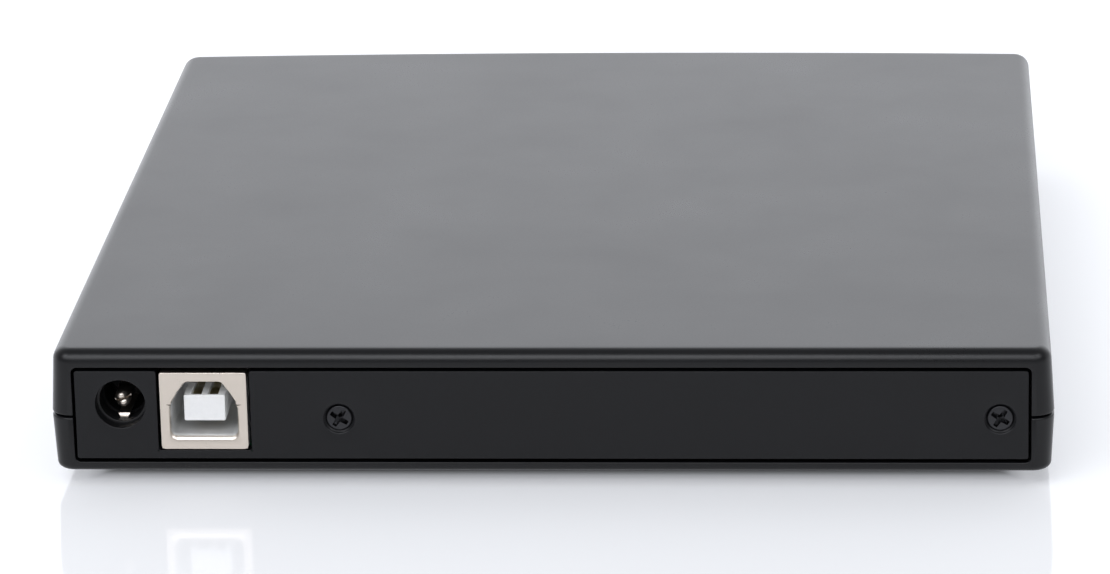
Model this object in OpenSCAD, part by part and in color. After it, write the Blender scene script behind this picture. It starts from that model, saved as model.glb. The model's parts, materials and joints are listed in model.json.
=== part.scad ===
// Slim external disc drive: a two-shell case with its sockets, and inside it a drive with a
// telescoping tray, a spindle and a pickup that a screw carries from the hub to the rim.
// Millimetres. +Z is up, the tray opens towards -Y, the sockets face +Y, the feet stand on z = 0.

/* [Case] */
// Thickness of the case floor
floor_t = 1.5; // [1.2:0.1:2]
// Thickness of the case roof
roof_t = 2; // [1.5:0.1:2.6]
// Thickness of the case side walls
side_t = 2.5; // [2:0.1:3.2]
// Height of the lower cover, up to the parting line
lower_h = 7.8; // [6.5:0.1:9]
// Gap between the drive and each side wall
drive_side_gap = 2.3; // [1.5:0.1:4]
// Gap between the drive and the roof
drive_top_gap = 1.4; // [1:0.1:3]
// Depth of the bay between the drive and the rear panel
rear_bay = 19.3; // [18.6:0.1:26]
// Depth of the frame round each end opening
frame_t = 3; // [2.6:0.1:3.4]
// Width of the frame beside each end opening
frame_side = 3.2; // [2.8:0.1:3.6]
// Height of the frame above each end opening
frame_top = 2.5; // [2.1:0.1:2.8]
// Plan radius of the case corners
corner_r = 3; // [2:0.25:4]
// Radius of the top edge
top_edge_r = 1.8; // [1:0.1:2]
// Radius of the bottom edge
bottom_edge_r = 1; // [0.6:0.1:1.2]
// How far the lower cover draws in towards its underside
side_draft = 0.5; // [0:0.1:0.8]
// How far the front edge bows out at its middle
front_bow = 1.5; // [0.6:0.1:2]
// Height of the seam lip on the lower cover
lip_h = 1.2; // [0.8:0.1:2]
// Thickness of the seam lip
lip_t = 1.1; // [0.8:0.1:1.2]
// Width of the locating ribs in both covers
rib_w = 1.4; // [1:0.1:2]

/* [Feet] */
// Height of the case above the table
foot_h = 2.4; // [1.5:0.1:4]
// Radius of a foot
foot_r = 5; // [3:0.25:7]
// Depth of the recess that holds a foot
foot_recess = 0.4; // [0.2:0.1:0.7]
// Distance from the case sides to a foot centre
foot_inset_x = 14; // [10:0.5:30]
// Distance from the case ends to a foot centre
foot_inset_y = 15; // [10:0.5:30]

/* [Rear panel] */
// Thickness of the rear panel
panel_t = 2; // [1.5:0.1:2.4]
// Gap round the rear panel
panel_gap = 0.35; // [0.2:0.05:0.6]
// How far the panel face sits inside the rear edge
panel_recess = 0.2; // [0.1:0.05:0.5]
// Shank radius of a panel screw
panel_screw_r = 1; // [0.8:0.05:1.25]
// Head radius of a panel screw
panel_head_r = 1.75; // [1.5:0.05:2]
// How far a panel screw's head is sunk below the panel's face
panel_head_sink = 0.3; // [0.1:0.05:0.4]
// Length of a panel screw
panel_screw_l = 6.7; // [5.5:0.1:7.2]
// Distance from the end opening's far side to the far panel screw
far_screw_inset = 4.2; // [4:0.1:12]
// Distance from the data socket's centre to the near panel screw
near_screw_step = 18.6; // [17.5:0.1:24]

/* [Sockets] */
// Width of the data socket shell
data_w = 12.04; // [11.5:0.02:12.6]
// Height of the data socket shell
data_h = 11.1; // [10.6:0.05:11.2]
// Depth of the data socket
data_d = 16.2; // [14:0.1:17.5]
// Gap round the data socket in the panel
data_gap = 0.4; // [0.2:0.05:0.7]
// Wall of the data socket shell
data_wall = 0.4; // [0.3:0.05:0.5]
// Width of the power jack
jack_w = 9; // [8:0.1:9.8]
// Height of the power jack
jack_h = 11; // [10.4:0.1:11.3]
// Depth of the power jack
jack_d = 14; // [12:0.1:15]
// Height of the jack's axis above its board
jack_axis_h = 6.5; // [6:0.1:6.8]
// Radius of the jack's bore
jack_bore_r = 3.2; // [2.9:0.05:3.4]
// Depth of the jack's bore
jack_bore_l = 10; // [8:0.1:11]
// Radius of the jack's centre pin
jack_pin_r = 1; // [0.8:0.05:1.25]
// Gap between the two sockets
socket_gap = 0.98; // [0.5:0.02:2]
// Distance from the end opening's side to the jack's axis
jack_inset = 6.6; // [5.4:0.1:9]
// Thickness of the bridge board
board_t = 1.2; // [0.8:0.1:1.4]
// Height of the bridge board's standoffs
standoff_h = 0.67; // [0.4:0.01:0.75]

/* [Disc and tray] */
// Radius of the largest disc
disc_r = 60; // [58:0.5:62]
// Radius of the small disc's recess
small_disc_r = 40.5; // [38:0.5:44]
// Depth of the small disc's recess
small_disc_h = 0.4; // [0.2:0.1:0.5]
// Clearance round the disc in its well
well_clear = 0.75; // [0.5:0.05:1.5]
// Height of the well under the lid
well_h = 4.3; // [4.2:0.1:6]
// Thickness of the tray floor
tray_floor_t = 1; // [0.8:0.1:1.6]
// Width of the tray's edge beside the well
tray_rim = 1.45; // [1:0.05:2.5]
// Thickness of the tray's front wall
tray_front_t = 1.2; // [1:0.1:2]
// Thickness of the tray's edge behind the well
tray_rear_t = 1.3; // [1:0.1:2.5]
// Thickness of the tray's side skirts
skirt_t = 1.6; // [1.2:0.1:2.2]
// Depth of the tray bezel at its middle
bezel_t = 3; // [2.8:0.1:3.4]
// Gap round the tray bezel
bezel_clear = 0.4; // [0.3:0.05:0.7]
// Width of the eject button
button_w = 11; // [8:0.5:13]
// Height of the eject button
button_h = 3; // [2.4:0.1:3.4]
// Press of the eject button
button_travel = 0.6; // [0.4:0.05:0.7]
// Radius of the hole for the release pin
pinhole_r = 0.65; // [0.5:0.05:0.9]

/* [Drive body] */
// Thickness of the drive's sheet steel
sheet_t = 0.6; // [0.5:0.05:0.8]
// Height of the fixed rail guides
guide_h = 5.2; // [5.2:0.1:6.5]
// Wall of the fixed rail guides
guide_t = 0.7; // [0.6:0.05:0.8]
// Depth of the fixed rail guides
guide_depth = 2.8; // [2.6:0.1:3]
// Wall of the sliding rails
rail_t = 0.5; // [0.4:0.05:0.6]
// Depth of the sliding rails
rail_depth = 2.1; // [2:0.05:2.6]
// Running gap between rails, guides and tray
run_gap = 0.3; // [0.25:0.01:0.35]

/* [Pickup carriage] */
// Direction of the pickup's path, from +X
traverse_angle = 228; // [226:0.5:230]
// Radius of the lens axis at the inner end of its path
lens_in = 23.5; // [22.5:0.5:26]
// Radius of the lens
lens_r = 2.1; // [1.5:0.1:2.6]
// Length of the carriage behind the lens
sled_back = 8; // [7:0.1:8.4]
// Length of the carriage ahead of the lens
sled_front = 5.5; // [5.3:0.1:6]
// Half width of the carriage body
sled_half = 11; // [10.5:0.1:11.2]
// Radius of a guide rod
rod_r = 1; // [0.8:0.05:1.1]
// Distance of the guide rods from the path's middle
rod_offset = 13.5; // [13.4:0.1:13.8]
// Distance of the drive screw from the path's middle
screw_offset = 18; // [17.8:0.1:18.4]
// Core radius of the drive screw
screw_r = 1; // [0.9:0.05:1.1]
// Pitch of the drive screw
screw_pitch = 4; // [3.6:0.2:5]

/* [Spindle] */
// Radius of the rotor can
rotor_r = 11; // [10:0.1:11.4]
// Radius of the turntable
turntable_r = 14.5; // [13.5:0.1:15]
// Radius of the hub that the disc slips over
hub_r = 7.4; // [7.2:0.05:7.45]
// Radius of the spindle shaft
shaft_r = 1; // [0.8:0.05:1.2]
// Reach of the hub's claws past the hub
claw_reach = 0.45; // [0.3:0.05:0.6]

/* [Hidden] */
$fn = 64;

// Clearances: touching parts, press fits, running shafts, screws in their holes
seat_gap = 0.1;
press_gap = 0.01;
shaft_gap = 0.05;
screw_gap = 0.05;
embed = 0.4;

// Levels above the table
z_part = foot_h + lower_h;
z_floor = foot_h + floor_t;
z_deck = z_floor + sheet_t;
under_gap = 0.6;
z_low = z_deck + under_gap;
z_guide_top = z_low + guide_h;
tray_gap = 0.4;
z_tray = z_guide_top + tray_gap;
z_well = z_tray + tray_floor_t;
z_lid = z_well + well_h;
z_drive_top = z_lid + sheet_t;
z_roof = z_drive_top + drive_top_gap;
z_top = z_roof + roof_t;
rim_gap = 0.8;
z_rim = z_lid - rim_gap;
seat_h = 1.2;
z_seat = z_well + seat_h;

// Distances from the middle plane
well_r = disc_r + well_clear;
tray_x = well_r + tray_rim;
tray_side_gap = 0.6;
bay_x = tray_x + tray_side_gap;
chassis_x = bay_x + sheet_t;
drive_x = chassis_x + sheet_t;
cav_x = drive_x + drive_side_gap;
half_w = cav_x + side_t;
open_x = half_w - frame_side;
rail_x = bay_x - guide_t - run_gap;
tongue_x = rail_x - rail_t - run_gap;
skirt_gap = 0.5;
skirt_x = rail_x - rail_depth - skirt_gap;
skirt_in = skirt_x - skirt_t;

// Places along the depth
tray_l = tray_front_t + 2*well_r + tray_rear_t;
tray_rear_gap = 0.9;
bezel_gap = 0.5;
half_d = (bezel_t + tray_l + tray_rear_gap + sheet_t + rear_bay + panel_t + panel_recess)/2;
y_bezel = bezel_t - half_d;
y_chassis = y_bezel + bezel_gap;
y_tray = y_bezel + tray_l;
y_wall = y_tray + tray_rear_gap;
y_drive = y_wall + sheet_t;
y_panel = y_drive + rear_bay;
y_face = y_panel + panel_t;
disc_y = y_bezel + tray_front_t + well_r;

// End openings of the case
open_z = z_floor;
open_top = z_top - frame_top;

// Places of the sockets, their board and the panel screws
board_z = z_floor + standoff_h;
z_board = board_z + board_t;
jack_x = open_x - jack_inset;
data_x = jack_x - jack_w/2 - socket_gap - data_w/2;
data_front = half_d - seat_gap;
data_back = data_front - data_d;
jack_z = z_board + jack_axis_h;
near_screw_x = data_x - near_screw_step;
far_screw_x = far_screw_inset - open_x;
boss_w = 6;
boss_l = panel_screw_l;
boss_end = 0.8;
connector_step = 41.5;
connector_x = data_x - connector_step;
connector_half = 14;
connector_top = z_tray - 0.7;
connector_reach = 2.7;
mate_y = y_drive + connector_reach;
board_front = mate_y;
board_back = y_panel - 0.4;
board_neck = 8.4;
board_step_y = board_front + board_neck;
board_step_x = data_x - data_w/2 - 7.5;
board_left = connector_x - connector_half - 4;
board_right = jack_x + jack_w/2 + 1.5;
bridge_screw_r = 0.95;
bridge_head_r = 1.9;
standoff_r = 2.2;
bridge_holes = [[board_step_x + 3.2, board_back - 2.8], [board_left + 2, board_front + 4.6]];
stop_w = 8;
stop_at = [far_screw_x + 12, connector_x - connector_half - 14];

// Ribs under the roof and beside the drive
roof_rib_step = 40;
roof_rib_inset = 10;
side_rib_inset = 20;

// Rails, guides and the tray's tongue
rail_z = z_low + guide_t + run_gap;
rail_top = z_guide_top - guide_t - run_gap;
tongue_z = rail_z + rail_t + run_gap;
tongue_top = rail_top - rail_t - run_gap;
rail_end_gap = 2.5;

// Tray bezel, button and indicator
bezel_x = open_x - bezel_clear;
bezel_z = open_z + bezel_clear;
bezel_top = open_top - bezel_clear;
button_inset = 7.1;
button_drop = 1.5;
button_x = skirt_in - button_inset;
button_z = z_tray - button_drop;
button_proud = 0.3;
button_run = 0.3;
stem_half = 1.6;
stem_h = 2;
pipe_step = 3;
pipe_x = button_x - button_w/2 - pipe_step;
pipe_w = 3;
pipe_h = 1;
lamp_half = 0.9;
lamp_l = 1.4;
front_board_rise = 1.4;
front_board_z = z_low + front_board_rise;
front_board_t = 0.8;
front_board_l = 4.6;
switch_gap = 0.1;
switch_half = 3;
switch_h = 2.4;

// Latch: its pivot, its arm and the post that it hooks on
latch_inset = 19.6;
latch_setback = 4.5;
latch_rise = 0.8;
latch_x = skirt_in - latch_inset;
latch_y = y_bezel + latch_setback;
latch_z = z_low + latch_rise;
latch_t = 1.2;
latch_pin_r = 1;
latch_hub_r = 2.2;
arm_l = 11;
arm_w = 2.4;
finger_l = 3.2;
finger_t = 1.6;
tail_l = 5;
tail_w = 1.8;
armature_l = 5;
armature_step = 4;
post_side = 4.6;
post_step = 7.28;
post_at = [latch_x - post_side, latch_y + post_step];
post_r = 1;
pinhole_step = 3.5;
pinhole_x = latch_x - pinhole_step;
pinhole_z = latch_z + latch_t/2;

// Solenoid that draws the latch back
solenoid_step_x = 2.7;
solenoid_step_y = 2;
solenoid_l = 13;
solenoid_w = 9;
yoke_t = 0.8;
yoke_rise = 0.4;
coil_r = 2.1;
coil_rise = 2.6;

// Eject plunger in its block at the tray's rear
plunger_inset = 12.6;
plunger_rise = 2.9;
plunger_x = plunger_inset - skirt_in;
plunger_z = z_low + plunger_rise;
plunger_r = 1;
collar_r = 1.7;
collar_l = 1.5;
stem_l = 8;
plunger_bore_r = 1.9;
plunger_block = 2.6;
block_end = 2;
block_l = 26;
block_wall = 2;
collar_step = 12;
block_y1 = y_tray - block_end;
block_y0 = block_y1 - block_l;
plunger_y = y_tray - collar_step;
spring_mean_r = 1.45;
wire_r = 0.25;
spring_turns = 9;
spring_rings = 8;
spring_sides = 6;

// Main board, its parts and the ribbon to the drive's rear connector
main_rise = 2.2;
main_t = 1;
main_left = 23.6;
main_right = 1.6;
main_l = 29;
main_end = 5;
main_z = z_low + main_rise;
main_x0 = main_left - skirt_in;
main_x1 = skirt_in - main_right;
main_y1 = y_tray - main_end;
main_y0 = main_y1 - main_l;
main_edge = 6;
main_middle = 44;
main_posts = [
    [main_x0 + main_edge, main_y1 - main_edge],
    [main_x1 - main_edge, main_y1 - main_edge],
    [main_x0 + main_middle, main_y0 + main_edge]
];
main_post_r = 2;
post_peg_r = 0.9;
main_chip_w = 16;
main_chip_x = 16;
main_chip_y = 7;
main_part_h = 1.2;
ribbon_inset = 12.1;
ribbon_x = skirt_in - ribbon_inset;
ribbon_w = 18;
ribbon_t = 0.2;
ribbon_rise = 1.3;
ribbon_l = 92;
ribbon_low = z_deck + seat_gap;
ribbon_high = z_low + ribbon_rise;
ribbon_bend_y = y_tray - ribbon_l;
ribbon_margin = 1;
ribbon_socket_l = 4;
socket_y = main_y0 + main_edge;
rear_board_l = 4.9;
rear_board_y = y_wall - rear_board_l;
rear_board_t = 0.8;
rear_board_margin = 2;

// Pickup carriage
lens_out = disc_r - 1.5;
sled_end = lens_out + sled_front;
slot_end = sled_end + 2;
slot_half = sled_half + 0.7;
plate_t = 0.8;
plate_top = z_tray - run_gap;
plate_z = plate_top - plate_t;
rod_z = z_low + 2.7;
rod_start = 7.5;
holder_t = 2;
holder_half = 2;
rod_end = sled_end + run_gap + holder_t;
plate_back = 16;
plate_side = rod_offset + 3.5;
plate_screw_side = screw_offset + 2.5;
damper_at = [[-plate_back - 3, 0], [slot_end - 22, -plate_side - 3], [slot_end - 22, plate_screw_side + 3]];
ear_r = 4;
damper_neck_r = 2.2;
damper_r = 2.8;
damper_bore_r = 1.15;
damper_screw_r = 1;
damper_head_r = 2.2;
bracket_x = 3;
bracket_t = 0.8;
sled_motor_r = 2.5;
sled_motor_l = 12;
journal_r = 0.8;
thread_start = bracket_x + bracket_t + 0.6;
thread_end = sled_end - 5.4;
rib_reach = 0.45;
tooth_w = 2.2;
tooth_x = lens_in - 1.5;
rack_t = 0.85;
sled_z = z_low;
sled_top = plate_top - seat_gap;
arm_y = rod_offset + 1.9;
pocket_x = 5.2;
pocket_y = 6;
pocket_z = z_low + 1.8;
holder_x = 3.2;
holder_y = 4;

// Spindle
motor_hole_r = rotor_r + 1.4;
motor_base_r = rotor_r + 1;
motor_post_at = rotor_r + 2.2;
motor_post_r = 1.2;
base_t = 0.8;
bearing_r = 2.6;
bearing_top = z_tray - 0.8;
can_wall = 0.6;
can_z = z_low + 1.4;
can_roof = bearing_top + 0.2;
can_top = can_roof + 0.8;
pad_t = 0.6;
turntable_top = z_seat - pad_t;
magnet_t = 1.15;
claw_w = 2.8;
claw_t = 1;
claw_in = 4.6;
claw_z = z_seat + 0.4;
claw_gap = 0.2;
hub_top = z_seat + 2;

function front_y(x) = front_bow*pow(x/(half_w - corner_r), 2) - half_d;

// Plan outline of the case, drawn in by inset: round corners and a bowed front edge
function corner(cx, cy, r, from, to) = [for (i = [0:8]) let (a = from + (to - from)*i/8)
    [cx + r*cos(a), cy + r*sin(a)]];
function case_outline(inset) = let (
    r = corner_r - inset,
    cx = half_w - corner_r,
    cy = half_d - corner_r,
    slope = atan(2*front_bow/cx),
    fy = front_y(cx) + corner_r*cos(slope)
) concat(
    corner(cx, cy, r, 0, 90),
    corner(-cx, cy, r, 90, 180),
    corner(-cx, fy, r, 180, 270 - slope),
    [for (i = [-7:7]) [cx*i/8, front_y(cx*i/8) + inset]],
    corner(cx, fy, r, 270 + slope, 360)
);

// Axis-aligned block between two corners
module block(x0, x1, y0, y1, z0, z1) {
    translate([x0, y0, z0]) cube([x1 - x0, y1 - y0, z1 - z0]);
}

// Upright, depthwise and sideways cylinders
module post(x, y, z0, z1, r) {
    translate([x, y, z0]) cylinder(h = z1 - z0, r = r);
}
module rod_y(x, z, y0, y1, r) {
    translate([x, y0, z]) rotate([-90, 0, 0]) cylinder(h = y1 - y0, r = r);
}
module rod_x(y, z, x0, x1, r) {
    translate([x0, y, z]) rotate([0, 90, 0]) cylinder(h = x1 - x0, r = r);
}

// Profile drawn in X and Z, carried along Y
module along_y(y0, y1) {
    translate([0, y1, 0]) rotate([90, 0, 0]) linear_extrude(y1 - y0) children();
}
// Plan drawn in X and Y, raised from z0 to z1
module raised(z0, z1) {
    translate([0, 0, z0]) linear_extrude(z1 - z0) children();
}
module both_sides() {
    children();
    mirror([1, 0, 0]) children();
}
module at_spindle() {
    translate([0, disc_y, 0]) children();
}
// The carriage's own frame: X runs from the spindle outwards along the pickup's path
module on_traverse() {
    at_spindle() rotate([0, 0, traverse_angle]) children();
}

// Case shells
fillet_steps = 6;
slice_t = 0.01;
module case_slice(inset, z) {
    translate([0, 0, z]) linear_extrude(slice_t) polygon(case_outline(inset));
}
module upper_form() {
    hull() {
        case_slice(0, z_part);
        for (a = [0:90/fillet_steps:90])
            case_slice(top_edge_r*(1 - cos(a)), z_top - top_edge_r + (top_edge_r - slice_t)*sin(a));
    }
}
module lower_form() {
    hull() {
        case_slice(0, z_part - slice_t);
        for (a = [0:90/fillet_steps:90])
            case_slice(side_draft + bottom_edge_r*(1 - cos(a)), foot_h + bottom_edge_r*(1 - sin(a)));
    }
}
module end_openings() {
    block(-open_x, open_x, -half_d - 1, half_d + 1, open_z, open_top);
}
module seam_lip(clear) {
    both_sides() block(cav_x - embed, cav_x + lip_t + clear, frame_t + 2 - half_d - clear,
        half_d - frame_t - 2 + clear, z_part - embed, z_part + lip_h + clear);
}

module top_cover() {
    color([0.13, 0.13, 0.14]) union() {
        difference() {
            upper_form();
            block(-cav_x, cav_x, frame_t - half_d, half_d - frame_t, z_part - 1, z_roof);
            end_openings();
            seam_lip(seat_gap);
        }
        for (x = [-roof_rib_step, 0, roof_rib_step])
            block(x - rib_w/2, x + rib_w/2, y_chassis + roof_rib_inset, y_drive - roof_rib_inset,
                z_drive_top + seat_gap, z_roof + embed);
    }
}

module panel_boss(x) {
    block(x - boss_w/2, x + boss_w/2, y_panel - boss_l, y_panel, z_floor - embed, z_part + boss_w/2);
}
module bottom_cover() {
    color([0.12, 0.12, 0.13]) difference() {
        union() {
            difference() {
                lower_form();
                block(-cav_x, cav_x, frame_t - half_d, half_d - frame_t, z_floor, z_part + 1);
                end_openings();
            }
            difference() {
                seam_lip(0);
                block(-cav_x, cav_x, -half_d, half_d, z_part - 1, z_part + lip_h + 1);
            }
            for (y = [y_chassis + side_rib_inset, disc_y, y_drive - side_rib_inset])
                both_sides()
                    block(drive_x + seat_gap, cav_x + embed, y, y + rib_w, z_floor - embed, z_part - 1);
            for (x = stop_at)
                block(x, x + stop_w, y_drive + seat_gap, y_drive + rib_w, z_floor - embed, z_part - 1);
            for (x = [near_screw_x, far_screw_x])
                panel_boss(x);
            for (at = bridge_holes)
                post(at[0], at[1], z_floor - embed, board_z, standoff_r);
        }
        for (x = [near_screw_x, far_screw_x])
            rod_y(x, z_part, y_panel - boss_l + boss_end, y_panel + 1, panel_screw_r + screw_gap);
        for (at = bridge_holes)
            post(at[0], at[1], z_floor - 0.9, board_z + 1, bridge_screw_r + screw_gap);
        for (x = [-1, 1], y = [-1, 1])
            post(x*(half_w - foot_inset_x), y*(half_d - foot_inset_y), foot_h - 1, foot_h + foot_recess,
                foot_r + seat_gap);
    }
}

foot_edge = 0.5;
module rubber_feet() {
    color([0.08, 0.08, 0.08])
        for (x = [-1, 1], y = [-1, 1])
            translate([x*(half_w - foot_inset_x), y*(half_d - foot_inset_y), 0]) {
                cylinder(h = foot_edge, r1 = foot_r - foot_edge, r2 = foot_r);
                translate([0, 0, foot_edge]) cylinder(h = foot_h + foot_recess - foot_edge, r = foot_r);
            }
}

// Rear panel and its screws
head_h = panel_head_r - panel_screw_r;
sink_h = head_h + panel_head_sink;
cross_angle = 25;
cross_l = 1.4*panel_head_r;
cross_w = 0.6;
cross_depth = 0.8;
jack_hole_r = jack_bore_r + 0.35;
module rear_panel() {
    color([0.11, 0.11, 0.12]) difference() {
        block(panel_gap - open_x, open_x - panel_gap, y_panel, y_face, open_z + panel_gap,
            open_top - panel_gap);
        block(data_x - data_w/2 - data_gap, data_x + data_w/2 + data_gap, y_panel - 1, y_face + 1,
            z_board - data_gap, open_top + 1);
        rod_y(jack_x, jack_z, y_panel - 1, y_face + 1, jack_hole_r);
        for (x = [near_screw_x, far_screw_x]) {
            rod_y(x, z_part, y_panel - 1, y_face + 1, panel_screw_r + 3*screw_gap);
            translate([x, y_face - sink_h, z_part]) rotate([-90, 0, 0])
                cylinder(h = sink_h + 0.001, r1 = panel_screw_r + screw_gap,
                    r2 = panel_head_r + panel_head_sink + screw_gap);
        }
    }
}
module panel_screws() {
    color([0.15, 0.15, 0.16])
        for (x = [near_screw_x, far_screw_x])
            translate([x, y_face - panel_head_sink, z_part]) rotate([90, 0, 0]) difference() {
                union() {
                    cylinder(h = head_h, r1 = panel_head_r, r2 = panel_screw_r);
                    translate([0, 0, head_h - 0.01]) cylinder(h = panel_screw_l - head_h, r = panel_screw_r);
                }
                for (turn = [cross_angle, cross_angle + 90])
                    rotate([0, 0, turn]) translate([-cross_l/2, -cross_w/2, -1])
                        cube([cross_l, cross_w, cross_depth + 1]);
            }
}

// Data socket: shell with its mouth, insulator with its tongue, four contacts
mouth_half = 4.6;
mouth_h = 8.3;
mouth_top_half = 2.6;
mouth_slope_h = 3.3;
mouth_z = z_board + (data_h - mouth_h)/2;
mouth_l = 9;
tongue_half = 2.8;
tongue_h = 3.3;
tongue_recess = 1.2;
contact_w = 1;
contact_t = 0.2;
module data_mouth(grow) {
    polygon([
        [data_x - mouth_half - grow, mouth_z - grow],
        [data_x + mouth_half + grow, mouth_z - grow],
        [data_x + mouth_half + grow, mouth_z + mouth_h - mouth_slope_h],
        [data_x + mouth_top_half + grow, mouth_z + mouth_h + grow],
        [data_x - mouth_top_half - grow, mouth_z + mouth_h + grow],
        [data_x - mouth_half - grow, mouth_z + mouth_h - mouth_slope_h]
    ]);
}
module data_socket_shell() {
    color([0.78, 0.76, 0.70]) difference() {
        union() {
            difference() {
                block(data_x - data_w/2, data_x + data_w/2, data_back, data_front, z_board,
                    z_board + data_h);
                block(data_x - data_w/2 + data_wall, data_x + data_w/2 - data_wall, data_back - 1,
                    data_front - data_wall, z_board + data_wall, z_board + data_h - data_wall);
            }
            along_y(data_front - mouth_l, data_front) data_mouth(data_wall);
        }
        along_y(data_front - mouth_l - 1, data_front + 1) data_mouth(0);
    }
}
module data_socket_insulator() {
    inner = data_wall + seat_gap/2;
    color([0.93, 0.93, 0.90]) union() {
        block(data_x - data_w/2 + inner, data_x + data_w/2 - inner, data_back + 0.5,
            data_front - mouth_l - seat_gap, z_board + inner, z_board + data_h - inner);
        block(data_x - tongue_half, data_x + tongue_half, data_front - mouth_l - 1,
            data_front - tongue_recess, mouth_z + (mouth_h - tongue_h)/2, mouth_z + (mouth_h + tongue_h)/2);
    }
}
module data_socket_contacts() {
    color([0.85, 0.68, 0.30])
        for (x = [data_x - tongue_half/2, data_x + tongue_half/2], up = [0, 1])
            translate([x - contact_w/2, data_front - mouth_l, up == 1 ? mouth_z + (mouth_h + tongue_h)/2
                : mouth_z + (mouth_h - tongue_h)/2 - contact_t])
                cube([contact_w, mouth_l - tongue_recess - 0.6, contact_t]);
}

// Power jack: body with its bore, centre pin, leaf contact
module jack_body() {
    color([0.09, 0.09, 0.10]) difference() {
        block(jack_x - jack_w/2, jack_x + jack_w/2, y_panel - jack_d, y_panel, z_board, z_board + jack_h);
        rod_y(jack_x, jack_z, y_panel - jack_bore_l, y_panel + 1, jack_bore_r);
    }
}
module jack_pin() {
    tip = 0.5;
    color([0.82, 0.82, 0.80]) union() {
        rod_y(jack_x, jack_z, y_panel - jack_bore_l, y_panel - 1 - tip, jack_pin_r);
        translate([jack_x, y_panel - 1 - tip, jack_z]) rotate([-90, 0, 0])
            cylinder(h = tip, r1 = jack_pin_r, r2 = jack_pin_r - 0.4);
    }
}
module jack_spring() {
    leaf_half = 1.2;
    leaf_t = 0.3;
    leaf_z = jack_z - sqrt(jack_bore_r*jack_bore_r - leaf_half*leaf_half) + 0.02;
    color([0.80, 0.78, 0.72])
        block(jack_x - leaf_half, jack_x + leaf_half, y_panel - jack_bore_l, y_panel - 2, leaf_z,
            leaf_z + leaf_t);
}

// Bridge board with its chip, its socket for the drive and its screws
module bridge_board() {
    color([0.06, 0.30, 0.16]) difference() {
        union() {
            block(board_step_x, board_right, board_front, board_back, board_z, z_board);
            block(board_left, board_right, board_front, board_step_y, board_z, z_board);
        }
        for (at = bridge_holes)
            post(at[0], at[1], board_z - 1, z_board + 1, bridge_screw_r + 0.15);
    }
}
module bridge_chip() {
    chip = 7;
    chip_h = 1.4;
    chip_x = board_step_x - 3;
    chip_y = board_front + 0.7;
    color([0.10, 0.10, 0.11]) block(chip_x - chip, chip_x, chip_y, chip_y + chip, z_board, z_board + chip_h);
}
module bridge_socket() {
    socket_l = 4;
    socket_h = 4;
    color([0.88, 0.86, 0.80])
        block(connector_x - connector_half, connector_x + connector_half, mate_y, mate_y + socket_l, z_board,
            z_board + socket_h);
}
module bridge_screws() {
    color([0.75, 0.75, 0.76])
        for (at = bridge_holes) {
            post(at[0], at[1], z_board, z_board + 1.2, bridge_head_r);
            post(at[0], at[1], z_floor - 0.7, z_board + 0.1, bridge_screw_r);
        }
}

// Drive body
module drive_chassis() {
    color([0.70, 0.71, 0.72]) union() {
        block(-chassis_x, chassis_x, y_chassis, y_drive, z_floor, z_deck);
        both_sides() block(bay_x, chassis_x, y_chassis, y_drive, z_floor, z_lid);
        difference() {
            block(-chassis_x, chassis_x, y_wall, y_drive, z_floor, z_lid);
            block(connector_x - connector_half - seat_gap, connector_x + connector_half + seat_gap,
                y_wall - 1, y_drive + 1, z_deck + rear_board_t, connector_top + seat_gap);
        }
        post(post_at[0], post_at[1], z_floor, latch_z + latch_t - seat_gap, post_r);
    }
}
module drive_lid() {
    flange_h = 4;
    color([0.74, 0.75, 0.76]) union() {
        block(-drive_x, drive_x, y_chassis, y_drive, z_lid, z_drive_top);
        both_sides() block(chassis_x, drive_x, y_chassis, y_drive, z_lid - flange_h, z_lid + embed);
    }
}
module fixed_guide() {
    along_y(y_chassis + 0.5, y_wall - 1) difference() {
        translate([bay_x - guide_depth, z_low]) square([guide_depth, guide_h]);
        translate([bay_x - guide_depth - 1, z_low + guide_t])
            square([guide_depth + 1 - guide_t, guide_h - 2*guide_t]);
    }
}
module left_guide() {
    color([0.20, 0.20, 0.22]) mirror([1, 0, 0]) fixed_guide();
}
module right_guide() {
    color([0.20, 0.20, 0.22]) fixed_guide();
}
module connector_board() {
    color([0.06, 0.30, 0.16])
        block(connector_x - connector_half - rear_board_margin, ribbon_x + ribbon_w/2 + rear_board_margin,
            rear_board_y, y_wall - 0.2, z_deck, z_deck + rear_board_t);
}
module drive_connector() {
    color([0.12, 0.12, 0.13])
        block(connector_x - connector_half, connector_x + connector_half, rear_board_y + 1.5, mate_y,
            z_deck + rear_board_t, connector_top);
}

// Sliding rails
module slide_rail() {
    along_y(y_chassis + 1, y_tray - rail_end_gap) difference() {
        translate([rail_x - rail_depth, rail_z]) square([rail_depth, rail_top - rail_z]);
        translate([rail_x - rail_depth - 1, rail_z + rail_t])
            square([rail_depth + 1 - rail_t, rail_top - rail_z - 2*rail_t]);
    }
}
module left_rail() {
    color([0.80, 0.80, 0.81]) mirror([1, 0, 0]) slide_rail();
}
module right_rail() {
    color([0.80, 0.80, 0.81]) slide_rail();
}

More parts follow.
